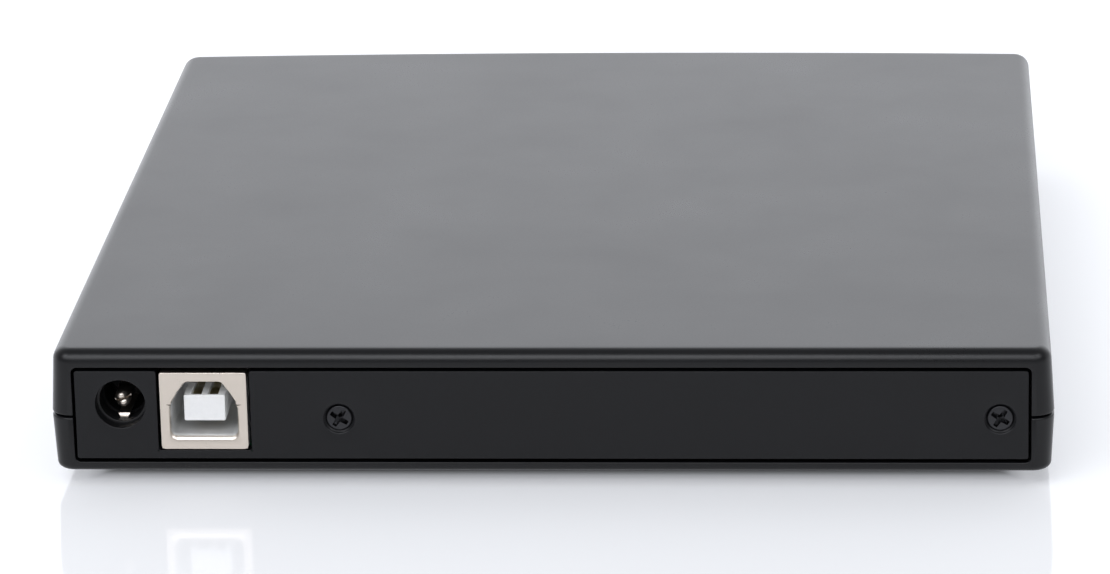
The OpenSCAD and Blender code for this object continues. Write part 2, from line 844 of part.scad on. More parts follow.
// Tray
pocket_roof = z_rim - 1;
pocket_step = 10;
well_wall = 1.2;
module rear_pockets() {
    raised(z_tray - 1, pocket_roof) difference() {
        translate([tray_rim - tray_x, disc_y + pocket_step])
            square([2*(tray_x - tray_rim), y_tray - tray_rear_t - disc_y - pocket_step]);
        translate([0, disc_y]) circle(well_r + well_wall);
    }
}
module traverse_slot() {
    on_traverse() raised(z_tray - 1, z_well + 0.05) {
        circle(turntable_r + 1.5);
        translate([0, -slot_half - 0.1]) square([slot_end, 2*slot_half + 0.2]);
    }
}
module disc_tray() {
    color([0.16, 0.16, 0.17]) difference() {
        union() {
            difference() {
                block(-tray_x, tray_x, y_bezel, y_tray, z_tray, z_rim);
                rear_pockets();
            }
            both_sides() {
                block(skirt_in, skirt_x, y_bezel, y_tray - 2, tongue_z - 0.6, pocket_roof + embed);
                block(skirt_x - embed, tongue_x, y_bezel + tray_front_t, y_tray - 2, tongue_z, tongue_top);
            }
            block(-skirt_x, skirt_x, y_bezel, y_bezel + tray_front_t, z_low + 0.4, z_tray + embed);
            block(plunger_x - plunger_block, plunger_x + plunger_block, block_y0, block_y1,
                plunger_z - plunger_block, pocket_roof + embed);
            for (at = main_posts) {
                post(at[0], at[1], main_z + main_t, pocket_roof + embed, main_post_r);
                post(at[0], at[1], main_z - 0.2, main_z + main_t + embed, post_peg_r);
            }
            post(latch_x, latch_y, latch_z - 0.3, z_tray + embed, latch_pin_r);
            post(latch_x, latch_y, latch_z + latch_t + 0.2, z_tray + embed, latch_pin_r + 1);
        }
        at_spindle() translate([0, 0, z_well]) cylinder(h = well_h, r = well_r);
        at_spindle() translate([0, 0, z_well - small_disc_h]) cylinder(h = well_h, r = small_disc_r);
        traverse_slot();
        for (at = damper_at)
            on_traverse() post(at[0], at[1], z_tray - 1, z_tray + 0.4, damper_screw_r + screw_gap);
        rod_y(plunger_x, plunger_z, block_y0 + block_wall, block_y1 + 1, plunger_bore_r);
        block(button_x - stem_half - button_run, button_x + stem_half + button_run, y_bezel - 1,
            y_bezel + tray_front_t + 1, button_z - stem_h/2 - button_run, button_z + stem_h/2 + button_run);
        pipe_hole(y_bezel - 1, y_bezel + tray_front_t + 1);
        rod_y(pinhole_x, pinhole_z, y_bezel - 1, y_bezel + tray_front_t + 1, pinhole_r);
    }
}
module pipe_hole(y0, y1) {
    block(pipe_x - pipe_w/2 - seat_gap, pipe_x + pipe_w/2 + seat_gap, y0, y1,
        button_z - pipe_h/2 - seat_gap, button_z + pipe_h/2 + seat_gap);
}
module tray_bezel() {
    outline = concat(
        [[bezel_x, y_bezel], [-bezel_x, y_bezel]],
        [for (i = [-12:12]) [bezel_x*i/12, front_y(bezel_x*i/12)]]
    );
    color([0.12, 0.12, 0.13]) difference() {
        raised(bezel_z, bezel_top) polygon(outline);
        block(button_x - button_w/2 - button_run, button_x + button_w/2 + button_run, -half_d - 1,
            y_bezel + 1, button_z - button_h/2 - button_run, button_z + button_h/2 + button_run);
        pipe_hole(-half_d - 1, y_bezel + 1);
        rod_y(pinhole_x, pinhole_z, -half_d - 1, y_bezel + 1, pinhole_r);
    }
}
module indicator_pipe() {
    color([0.55, 0.75, 0.45])
        block(pipe_x - pipe_w/2, pipe_x + pipe_w/2, front_y(pipe_x) - 0.05, y_bezel + tray_front_t + 0.6,
            button_z - pipe_h/2, button_z + pipe_h/2);
}
lamp_y = y_bezel + tray_front_t + 0.8;
module indicator_lamp() {
    color([0.85, 0.90, 0.70])
        block(pipe_x - lamp_half, pipe_x + lamp_half, lamp_y, lamp_y + lamp_l, front_board_z + front_board_t,
            button_z + pipe_h/2);
}
module front_board() {
    color([0.06, 0.30, 0.16])
        block(pipe_x - lamp_half - 0.3, skirt_in - seat_gap, y_bezel + tray_front_t,
            y_bezel + tray_front_t + front_board_l, front_board_z, front_board_z + front_board_t);
}
stem_end = y_bezel + tray_front_t + 0.4;
switch_y = stem_end + button_travel + switch_gap;
module eject_switch() {
    color([0.15, 0.15, 0.16])
        block(button_x - switch_half, button_x + switch_half, switch_y,
            y_bezel + tray_front_t + front_board_l, front_board_z + front_board_t, button_z + switch_h/2);
}
module eject_button() {
    color([0.16, 0.16, 0.17]) union() {
        block(button_x - button_w/2, button_x + button_w/2, front_y(button_x) - button_proud,
            y_bezel - button_travel - 0.2, button_z - button_h/2, button_z + button_h/2);
        block(button_x - stem_half, button_x + stem_half, front_y(button_x), stem_end, button_z - stem_h/2,
            button_z + stem_h/2);
    }
}

// Boards and wiring under the tray
module main_board() {
    color([0.06, 0.30, 0.16]) difference() {
        block(main_x0, main_x1, main_y0, main_y1, main_z, main_z + main_t);
        for (at = main_posts)
            post(at[0], at[1], main_z - 1, main_z + main_t + 1, post_peg_r + screw_gap);
    }
}
module main_chip() {
    color([0.10, 0.10, 0.11])
        translate([main_x0 + main_chip_x, main_y0 + main_chip_y, main_z - main_part_h])
            cube([main_chip_w, main_chip_w, main_part_h]);
}
module ribbon_socket() {
    color([0.88, 0.86, 0.80])
        block(ribbon_x - ribbon_w/2 - ribbon_margin, ribbon_x + ribbon_w/2 + ribbon_margin, socket_y,
            socket_y + ribbon_socket_l, main_z - main_part_h, main_z);
}
module ribbon_cable() {
    bend_r = (ribbon_high - ribbon_low)/2;
    color([0.85, 0.86, 0.88]) translate([ribbon_x - ribbon_w/2, 0, 0]) rotate([90, 0, 90])
        linear_extrude(ribbon_w) union() {
            translate([ribbon_bend_y, ribbon_low]) square([rear_board_y - ribbon_bend_y, ribbon_t]);
            translate([ribbon_bend_y, ribbon_high]) square([socket_y - ribbon_bend_y, ribbon_t]);
            translate([ribbon_bend_y, ribbon_low + bend_r + ribbon_t/2]) difference() {
                circle(bend_r + ribbon_t/2);
                circle(bend_r - ribbon_t/2);
                translate([0, -bend_r - 1]) square(2*bend_r + 2);
            }
        }
}

// Latch and its solenoid, eject plunger and its spring
module release_solenoid() {
    x0 = latch_x + solenoid_step_x;
    x1 = x0 + solenoid_l;
    y0 = latch_y + solenoid_step_y;
    y1 = y0 + solenoid_w;
    color([0.62, 0.36, 0.20]) union() {
        block(x0, x1, y0, y1, z_tray - yoke_t, z_tray);
        block(x0, x0 + yoke_t, y0, y1, z_low + yoke_rise, z_tray);
        block(x1 - yoke_t, x1, y0, y1, z_low + yoke_rise, z_tray);
        rod_x((y0 + y1)/2, z_low + coil_rise, x0 + yoke_t/2, x1 - yoke_t/2, coil_r);
    }
}
module latch_lever() {
    color([0.75, 0.76, 0.78]) translate([latch_x, latch_y, latch_z]) linear_extrude(latch_t) difference() {
        union() {
            circle(latch_hub_r);
            translate([-arm_w/2, 0]) square([arm_w, arm_l]);
            translate([-finger_l, arm_l - finger_t]) square([finger_l, finger_t]);
            translate([-tail_l, -tail_w/2]) square([tail_l, tail_w]);
            translate([0, armature_step]) square([arm_w, armature_l]);
        }
        circle(latch_pin_r + shaft_gap);
    }
}
module eject_plunger() {
    color([0.90, 0.90, 0.88]) union() {
        rod_y(plunger_x, plunger_z, plunger_y - stem_l, y_wall - seat_gap, plunger_r);
        rod_y(plunger_x, plunger_z, plunger_y, plunger_y + collar_l, collar_r);
    }
}
// Helix along Y between the block's end and the plunger's collar
spring_y0 = block_y0 + block_wall + wire_r + 0.05;
spring_y1 = plunger_y - wire_r - 0.05;
spring_steps = spring_turns*spring_rings;
function spring_point(i, j) = let (
    turn = 360*i/spring_rings,
    side = 360*j/spring_sides,
    r = spring_mean_r + wire_r*cos(side)
) [
    plunger_x + r*cos(turn),
    spring_y0 + (spring_y1 - spring_y0)*i/spring_steps + wire_r*sin(side),
    plunger_z + r*sin(turn)
];
module eject_spring() {
    n = spring_sides;
    points = [for (i = [0:spring_steps], j = [0:n - 1]) spring_point(i, j)];
    walls = [for (i = [0:spring_steps - 1], j = [0:n - 1], half = [0, 1]) let (k = (j + 1)%n)
        half == 0 ? [i*n + j, (i + 1)*n + j, i*n + k] : [i*n + k, (i + 1)*n + j, (i + 1)*n + k]];
    first = [for (j = [1:n - 2]) [0, j, j + 1]];
    last = [for (j = [1:n - 2]) [spring_steps*n, spring_steps*n + j + 1, spring_steps*n + j]];
    color([0.70, 0.70, 0.72]) polyhedron(points = points, faces = concat(walls, first, last));
}
echo(least_gap_of_spring = (spring_y1 - spring_y0)/spring_turns - 2*wire_r);

// Carriage frame, its dampers and screws, its rods
module traverse_plate() {
    difference() {
        union() {
            polygon([
                [-plate_back, -plate_side],
                [slot_end - 4, -plate_side],
                [slot_end + 3, -rod_offset],
                [slot_end + 3, rod_offset - 1.5],
                [slot_end - 5.5, plate_screw_side],
                [-plate_back, plate_screw_side]
            ]);
            for (at = damper_at)
                translate(at) circle(ear_r);
        }
        circle(motor_hole_r);
        translate([rod_start, -slot_half]) square([slot_end - rod_start, 2*slot_half]);
        translate([bracket_x - sled_motor_l - 1, screw_offset - 3.2]) square([sled_motor_l + 1, 10]);
        for (at = damper_at)
            translate(at) circle(damper_neck_r);
    }
}
module rod_holder(x, y) {
    block(x, x + holder_t, y - holder_half, y + holder_half, rod_z - 1.7, plate_z + embed/2);
}
module traverse_base() {
    color([0.66, 0.67, 0.69]) on_traverse() difference() {
        union() {
            raised(plate_z, plate_top) traverse_plate();
            for (x = [rod_start, rod_end - holder_t], y = [-rod_offset, rod_offset])
                rod_holder(x, y);
            block(bracket_x, bracket_x + bracket_t, screw_offset - 2.8, screw_offset + 2.5, z_low + 0.3,
                plate_z + embed/2);
            block(thread_end + 0.6, thread_end + 1.8, screw_offset - 2, screw_offset + 2, rod_z - 1.9,
                plate_z + embed/2);
        }
        for (y = [-rod_offset, rod_offset])
            rod_x(y, rod_z, rod_start - 1, rod_end + 1, rod_r + press_gap);
        rod_x(screw_offset, rod_z, bracket_x - 1, bracket_x + bracket_t + 1, journal_r + 0.3);
        rod_x(screw_offset, rod_z, thread_end, thread_end + 3, journal_r + shaft_gap);
    }
}
module traverse_dampers() {
    color([0.10, 0.10, 0.11]) on_traverse()
        for (at = damper_at)
            translate(at) difference() {
                union() {
                    post(0, 0, plate_z - 0.8, plate_z, damper_r);
                    post(0, 0, plate_z - 0.1, plate_top + 0.1, damper_neck_r - press_gap);
                    post(0, 0, plate_top, z_tray, damper_r);
                }
                post(0, 0, plate_z - 2, z_tray + 1, damper_bore_r);
            }
}
module traverse_screws() {
    color([0.72, 0.72, 0.74]) on_traverse()
        for (at = damper_at) {
            post(at[0], at[1], plate_z - 1.8, plate_z - 0.8, damper_head_r);
            post(at[0], at[1], plate_z - 1, z_tray + 0.35, damper_screw_r);
        }
}
module guide_rods() {
    color([0.85, 0.85, 0.86]) on_traverse()
        for (y = [-rod_offset, rod_offset])
            rod_x(y, rod_z, rod_start, rod_end, rod_r);
}

// Drive screw, with its thread in step with the rack's tooth, and its motor
module sled_motor() {
    color([0.60, 0.60, 0.62]) on_traverse() difference() {
        rod_x(screw_offset, rod_z, bracket_x - sled_motor_l, bracket_x, sled_motor_r);
        rod_x(screw_offset, rod_z, bracket_x - sled_motor_l + 1, bracket_x + 1, journal_r + shaft_gap);
    }
}
thread_l = thread_end - thread_start;
thread_phase = 270 - 360*((tooth_x - thread_start)/screw_pitch - 0.5);
thread_outline = concat(
    [for (a = [40:40:320]) screw_r*[cos(a), sin(a)]],
    [for (a = [-12, 12]) (screw_r + rib_reach)*[cos(a), sin(a)]]
);
module drive_screw() {
    color([0.80, 0.78, 0.70]) on_traverse() union() {
        translate([thread_start, screw_offset, rod_z]) rotate([0, 90, 0]) rotate([0, 0, thread_phase])
            linear_extrude(thread_l, twist = -360*thread_l/screw_pitch,
                slices = ceil(10*thread_l/screw_pitch), segments = len(thread_outline))
                polygon(thread_outline);
        rod_x(screw_offset, rod_z, bracket_x - sled_motor_l + 1.5, thread_start + 0.2, journal_r);
        rod_x(screw_offset, rod_z, thread_end - 0.2, thread_end + 1.8, journal_r);
    }
}

// Spindle motor and turntable
module motor_base() {
    post_angles = [90, 210, 330];
    color([0.72, 0.73, 0.74]) on_traverse() difference() {
        union() {
            raised(z_low, z_low + base_t) {
                circle(motor_base_r);
                for (a = post_angles)
                    rotate(a) translate([motor_post_at, 0]) circle(motor_post_r + 0.6);
            }
            for (a = post_angles)
                rotate([0, 0, a]) post(motor_post_at, 0, z_low + base_t/2, plate_z, motor_post_r);
            post(0, 0, z_low, bearing_top, bearing_r);
        }
        post(0, 0, z_low + 0.3, bearing_top + 1, shaft_r + shaft_gap);
    }
}
module motor_stator() {
    poles = 9;
    tip_r = rotor_r - can_wall - magnet_t - 0.7;
    color([0.72, 0.42, 0.22]) at_spindle() raised(z_low + base_t, can_roof - 0.6) difference() {
        union() {
            circle(bearing_r + 1.6);
            for (i = [0:poles - 1])
                rotate(360*i/poles) {
                    translate([bearing_r + 0.5, -0.7]) square([tip_r - bearing_r - 0.5, 1.4]);
                    translate([tip_r - 0.9, -1.7]) square([0.9, 3.4]);
                }
        }
        circle(bearing_r + screw_gap);
    }
}
module rotor_can() {
    color([0.80, 0.80, 0.82]) at_spindle() difference() {
        union() {
            post(0, 0, can_z, can_top, rotor_r);
            post(0, 0, can_top - 0.1, turntable_top, turntable_r);
        }
        post(0, 0, can_z - 1, can_roof, rotor_r - can_wall);
        post(0, 0, can_z, turntable_top + 1, shaft_r);
    }
}
module rotor_magnet() {
    color([0.25, 0.25, 0.27]) at_spindle() difference() {
        post(0, 0, can_z + 0.2, can_roof, rotor_r - can_wall - press_gap);
        post(0, 0, can_z - 1, can_roof + 1, rotor_r - can_wall - magnet_t);
    }
}
module spindle_shaft() {
    color([0.85, 0.85, 0.86]) at_spindle()
        post(0, 0, z_low + 0.4, turntable_top - 0.1, shaft_r - press_gap);
}
module turntable_pad() {
    color([0.14, 0.14, 0.15]) at_spindle() difference() {
        post(0, 0, turntable_top, z_seat, turntable_r - 0.3);
        post(0, 0, turntable_top - 1, z_seat + 1, turntable_r - 3.5);
    }
}
module claw_seat(clear) {
    translate([claw_in - 2*clear - 0.8, -claw_w/2 - clear, claw_z - clear])
        cube([hub_r, claw_w + 2*clear, claw_t + 2*clear]);
}
module chuck_hub() {
    color([0.17, 0.17, 0.18]) at_spindle() difference() {
        union() {
            post(0, 0, turntable_top, hub_top - 0.8, hub_r);
            translate([0, 0, hub_top - 0.8]) cylinder(h = 0.8, r1 = hub_r, r2 = hub_r - 1.2);
        }
        for (a = [0, 120, 240])
            rotate([0, 0, a]) claw_seat(claw_gap);
        post(0, 0, hub_top - 0.6, hub_top + 1, 2.4);
    }
}
module chuck_claw(turn) {
    color([0.22, 0.22, 0.24]) at_spindle() rotate([0, 0, turn]) intersection() {
        translate([claw_in, -claw_w/2, claw_z]) cube([hub_r, claw_w, claw_t]);
        post(0, 0, claw_z - 1, claw_z + claw_t + 1, hub_r + claw_reach);
    }
}
module chuck_claw_1() {
    chuck_claw(0);
}
module chuck_claw_2() {
    chuck_claw(120);
}
module chuck_claw_3() {
    chuck_claw(240);
}

// Pickup
fork_lip = 0.6;
module pickup_body() {
    x0 = lens_in - sled_back;
    x1 = lens_in + sled_front;
    color([0.55, 0.56, 0.58]) on_traverse() difference() {
        union() {
            block(x0, x1, -sled_half, sled_half, sled_z, sled_top);
            block(x0, x1, sled_half - embed, arm_y, rod_z - 1.5, rod_z + 1.5);
            block(lens_in - 3, lens_in + 3, -rod_offset - rod_r - 0.4, embed - sled_half,
                rod_z - rod_r - shaft_gap - fork_lip, rod_z + rod_r + shaft_gap + fork_lip - 0.1);
        }
        rod_x(rod_offset, rod_z, x0 - 1, x1 + 1, rod_r + shaft_gap);
        block(lens_in - 4, lens_in + 4, -rod_offset - rod_r - 1, rod_r + shaft_gap - rod_offset,
            rod_z - rod_r - shaft_gap, rod_z + rod_r + shaft_gap);
        block(lens_in - pocket_x, lens_in + pocket_x, -pocket_y, pocket_y, pocket_z, sled_top + 1);
    }
}
module pickup_rack() {
    tooth_tip = screw_offset - screw_r - 0.15;
    color([0.90, 0.90, 0.86]) on_traverse() union() {
        block(lens_in - sled_back + 1, tooth_x + tooth_w/2 + 0.4, arm_y, arm_y + rack_t, rod_z - 1.3,
            rod_z + 1.3);
        block(tooth_x - tooth_w/2, tooth_x + tooth_w/2, arm_y, tooth_tip, rod_z - 0.5, rod_z + 0.5);
    }
}
module actuator_magnets() {
    color([0.30, 0.30, 0.32]) on_traverse()
        for (x = [lens_in - pocket_x, lens_in + pocket_x - 1.2])
            block(x, x + 1.2, -3.6, 3.6, pocket_z, sled_top - 0.2);
}
module actuator_cover() {
    color([0.14, 0.14, 0.15]) on_traverse() difference() {
        block(lens_in - sled_back + 1, lens_in + sled_front - 0.1, -sled_half + 0.4, sled_half - 0.4,
            sled_top, sled_top + 0.2);
        block(lens_in - holder_x - 0.4, lens_in + holder_x + 0.4, -holder_y - 0.4, holder_y + 0.4,
            sled_top - 1, sled_top + 1);
    }
}
lens_base = sled_top + 0.5;
module lens_holder() {
    color([0.20, 0.20, 0.22]) on_traverse() difference() {
        block(lens_in - holder_x, lens_in + holder_x, -holder_y, holder_y, pocket_z + 1, lens_base);
        post(lens_in, 0, pocket_z, lens_base + 1, lens_r - 0.5);
    }
}
module objective_lens() {
    dome = 0.55;
    dome_r = (lens_r*lens_r + dome*dome)/(2*dome);
    color([0.55, 0.65, 0.85]) on_traverse() translate([lens_in, 0, lens_base]) union() {
        cylinder(h = 0.2, r = lens_r);
        translate([0, 0, 0.2]) intersection() {
            translate([0, 0, dome - dome_r]) sphere(r = dome_r);
            cylinder(h = 2, r = lens_r);
        }
    }
}

top_cover();
bottom_cover();
rear_panel();
panel_screws();
rubber_feet();
data_socket_shell();
data_socket_insulator();
data_socket_contacts();
jack_body();
jack_pin();
jack_spring();
bridge_board();
bridge_chip();
bridge_socket();
bridge_screws();
drive_chassis();
drive_lid();
left_guide();
right_guide();
connector_board();
drive_connector();
left_rail();
right_rail();
disc_tray();
tray_bezel();
indicator_pipe();
indicator_lamp();
front_board();
eject_switch();
eject_button();
main_board();
main_chip();
ribbon_socket();
ribbon_cable();
release_solenoid();
latch_lever();
eject_plunger();
eject_spring();
traverse_base();
traverse_dampers();
traverse_screws();
guide_rods();
sled_motor();
drive_screw();
motor_base();
motor_stator();
rotor_can();
rotor_magnet();
spindle_shaft();
turntable_pad();
chuck_hub();
chuck_claw_1();
chuck_claw_2();
chuck_claw_3();
pickup_body();
pickup_rack();
actuator_magnets();
actuator_cover();
lens_holder();
objective_lens();
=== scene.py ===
"""Slim external disc drive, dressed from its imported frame: case, sockets, screws, tray and mechanism."""
import json
import math

import bmesh
import bpy
import numpy as np
from bpy.props import FloatProperty, FloatVectorProperty, PointerProperty
from mathutils import Matrix, Vector

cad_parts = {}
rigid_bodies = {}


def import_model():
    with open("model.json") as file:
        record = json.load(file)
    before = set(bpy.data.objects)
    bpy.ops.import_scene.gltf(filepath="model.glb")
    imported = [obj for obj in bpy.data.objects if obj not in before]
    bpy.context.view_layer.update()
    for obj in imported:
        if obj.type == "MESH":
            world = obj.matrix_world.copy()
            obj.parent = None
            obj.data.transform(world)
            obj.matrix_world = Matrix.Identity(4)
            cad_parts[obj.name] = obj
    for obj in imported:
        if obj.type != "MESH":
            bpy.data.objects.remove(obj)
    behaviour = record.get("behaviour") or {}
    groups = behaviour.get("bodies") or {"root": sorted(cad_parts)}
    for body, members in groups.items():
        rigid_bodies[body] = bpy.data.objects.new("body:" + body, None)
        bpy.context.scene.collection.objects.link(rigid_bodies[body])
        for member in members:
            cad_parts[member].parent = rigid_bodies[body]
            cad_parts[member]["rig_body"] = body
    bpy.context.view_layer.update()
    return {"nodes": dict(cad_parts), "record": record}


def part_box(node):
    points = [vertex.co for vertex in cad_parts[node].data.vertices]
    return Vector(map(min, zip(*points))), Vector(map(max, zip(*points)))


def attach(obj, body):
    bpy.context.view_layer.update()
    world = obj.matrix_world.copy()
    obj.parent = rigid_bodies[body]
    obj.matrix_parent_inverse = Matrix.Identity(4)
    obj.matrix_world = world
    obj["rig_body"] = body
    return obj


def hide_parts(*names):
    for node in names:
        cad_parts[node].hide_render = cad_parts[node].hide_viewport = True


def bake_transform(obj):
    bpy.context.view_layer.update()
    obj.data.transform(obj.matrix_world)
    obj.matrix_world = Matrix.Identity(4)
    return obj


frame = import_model()

bl_info = {
    "name": "Slim disc drive",
    "version": (1, 0, 0),
    "blender": (4, 5, 0),
    "location": "View3D > Sidebar > Disc drive",
    "description": "Dresses the packed frame of a slim external disc drive",
    "category": "Object",
}

MM = 0.001
SLOT_OF = {part["node"]: part["material_slot"] for part in frame["record"]["subparts"]}
BODY_OF = {node: item["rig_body"] for node, item in frame["nodes"].items()}


def span(node):
    """Lowest and highest corner of a CAD node, in millimetres."""
    low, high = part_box(node)
    return np.array(low)/MM, np.array(high)/MM


TOP, BOTTOM, PANEL = span("top_cover"), span("bottom_cover"), span("rear_panel")
SHELL, JACK, PIN = span("data_socket_shell"), span("jack_body"), span("jack_pin")
BEZEL, BUTTON = span("tray_bezel"), span("eject_button")


# Settings

def length(name, description, default):
    """A length property whose default is given in millimetres."""
    return FloatProperty(name=name, description=description, default=float(default)*MM, min=0, unit="LENGTH")


def tint(name, description, default):
    """A colour property, linear values."""
    return FloatVectorProperty(name=name, description=description, default=default, size=3, subtype="COLOR",
                               min=0, max=1)


def degrees(name, description, default):
    """An angle property whose default is given in degrees."""
    return FloatProperty(name=name, description=description, default=math.radians(default), subtype="ANGLE")


def brightness(name, description, default):
    """A property for the radiance of a lamp or of the room."""
    return FloatProperty(name=name, description=description, default=default, min=0)


class CaseSettings(bpy.types.PropertyGroup):
    """Sizes of the two case shells and the rear panel."""
    half_width: length("Half width", "Middle plane to the side of the case", TOP[1][0])
    half_depth: length("Half depth", "Middle plane to the rear edge of the case", TOP[1][1])
    top: length("Top", "Height of the top face", TOP[1][2])
    underside: length("Underside", "Height of the underside", BOTTOM[0][2])
    seam: length("Seam", "Height of the parting line", TOP[0][2] + 0.25)
    roof: length("Roof", "Height of the roof's inner face", 18)
    floor: length("Floor", "Height of the floor's inner face", 3.8)
    corner: length("Corner radius", "Plan radius of the corners", 3)
    top_edge: length("Top edge radius", "Radius of the top edge", 1.8)
    bottom_edge: length("Bottom edge radius", "Radius of the bottom edge", 1)
    draft: length("Draft", "How far the lower shell draws in", 0.36)
    lean: length("Lean", "How far the upper shell's sides draw in", 0.45)
    bow: length("Front bow", "How far the front edge bows out", 1.5)
    wall: length("Wall", "Wall of the shells", 2.6)
    groove: length("Seam groove", "Depth of the groove along the seam", 0.3)
    slit: length("Seam slit", "Half height of the open slit along the seam", 0.1)
    opening: length("Opening half width", "Half width of the end openings", 65.6)
    opening_low: length("Opening bottom", "Height of the openings' lower edge", 3.8)
    opening_high: length("Opening top", "Height of the openings' upper edge", 17.6)
    opening_corner: length("Opening corner", "Corner radius of the end openings", 0.8)
    lip: length("Lip", "Rounding of the openings' edges", 0.15)
    panel_edge: length("Panel edge", "Rounding of the rear panel's edges", 0.12)


class SocketSettings(bpy.types.PropertyGroup):
    """Sizes of the sockets and the panel screws."""
    mouth_half: length("Mouth half width", "Half width of the data socket's mouth", 4.55)
    mouth_low: length("Mouth bottom", "Height of the mouth's floor", 7.78)
    mouth_high: length("Mouth top", "Height of the mouth's roof", 15.38)
    mouth_knee: length("Mouth knee", "Height at which the mouth's sides start to slope", 12.2)
    mouth_top: length("Mouth top half width", "Half width of the mouth's top edge", 2.42)
    mouth_depth: length("Mouth depth", "Depth of the mouth", 13)
    mouth_lip: length("Mouth lip", "Depth of the rolled lip", 1.0)
    tongue_half: length("Tongue half width", "Half width of the tongue", 2.84)
    tongue_height: length("Tongue height", "Height of the tongue", 3.7)
    tongue_recess: length("Tongue recess", "Flange to the tongue's end", 1.2)
    jack_bore: length("Jack bore", "Radius of the jack's bore", 3.15)
    jack_hole: length("Jack hole", "Radius of the panel's hole", 3.45)
    pin_radius: length("Pin radius", "Radius of the jack's centre pin", 1.15)
    head_radius: length("Screw head radius", "Radius of a panel screw's head", 1.75)
    cross_angle: degrees("Cross angle", "Turn of the screws' cross recess", 33)


class FinishSettings(bpy.types.PropertyGroup):
    """Colours of the main finishes."""
    case: tint("Case", "Black of the case shells", (0.0034, 0.0034, 0.0042))
    panel: tint("Panel", "Black of the rear panel", (0.0042, 0.0043, 0.0054))
    bezel: tint("Bezel", "Black of the tray bezel and its button", (0.0080, 0.0080, 0.0088))
    tray: tint("Tray", "Dark grey of the tray", (0.020, 0.020, 0.022))
    nickel: tint("Nickel", "Plating of the data socket", (0.69, 0.62, 0.545))
    steel: tint("Steel", "Zinc-plated sheet", (0.56, 0.57, 0.58))
    gold: tint("Gold", "Flash on the contacts", (0.36, 0.29, 0.13))
    white: tint("White", "White mouldings", (0.93, 0.93, 0.925))
    mask: tint("Solder mask", "Green of the boards", (0.009, 0.080, 0.034))
    copper: tint("Copper", "Enamelled copper wire", (0.50, 0.22, 0.10))


class StageSettings(bpy.types.PropertyGroup):
    """Floor, lights and camera."""
    floor: tint("Floor", "Pale floor", (0.80, 0.80, 0.80))
    # The glow is painted light; the floor fades it into a painted shadow under the case.
    glow: tint("Floor glow", "Light that the translucent floor shows through", (0.25, 0.255, 0.27))
    key: brightness("Key", "Radiance of the softbox to one side of the camera", 3.0)
    fill: brightness("Fill", "Radiance of the softbox to the other side, for glossy surfaces", 2.8)
    sheen: brightness("Sheen", "Radiance of the panels that only glossy edges show", 2.0)
    backdrop: brightness("Backdrop", "Radiance of the low light beyond the drive", 0.80)
    ambient: brightness("Ambient", "Light of the surrounding room on matt surfaces", 0.72)
    camera: FloatVectorProperty(name="Camera", description="Place of the camera", size=3, subtype="XYZ",
                                default=(-0.0486, 0.7671, 0.2588), unit="LENGTH")
    turn: degrees("Turn", "Turn of the camera from straight ahead", 3.92)
    tilt: degrees("Tilt", "Tilt of the camera below the horizon", 18.31)
    roll: degrees("Roll", "Roll of the camera", 1.29)
    focal: FloatProperty(name="Focal length", description="Focal length in millimetres on a 36 mm sensor",
                         default=174.94, min=1)


# Shader maths

def arithmetic(operation, swapped=False):
    """An operator of Link, which adds a Math node."""
    def operator(self, other):
        return self.finish.maths(operation, *((other, self) if swapped else (self, other)))
    return operator


class Link:
    """A value that runs from one shader node to the next; arithmetic on it adds Math nodes."""

    def __init__(self, finish, socket):
        self.finish = finish
        self.socket = socket

    __add__, __radd__ = arithmetic("ADD"), arithmetic("ADD", swapped=True)
    __sub__, __rsub__ = arithmetic("SUBTRACT"), arithmetic("SUBTRACT", swapped=True)
    __mul__, __rmul__ = arithmetic("MULTIPLY"), arithmetic("MULTIPLY", swapped=True)
    __truediv__, __pow__ = arithmetic("DIVIDE"), arithmetic("POWER")
    __gt__, __lt__ = arithmetic("GREATER_THAN"), arithmetic("LESS_THAN")


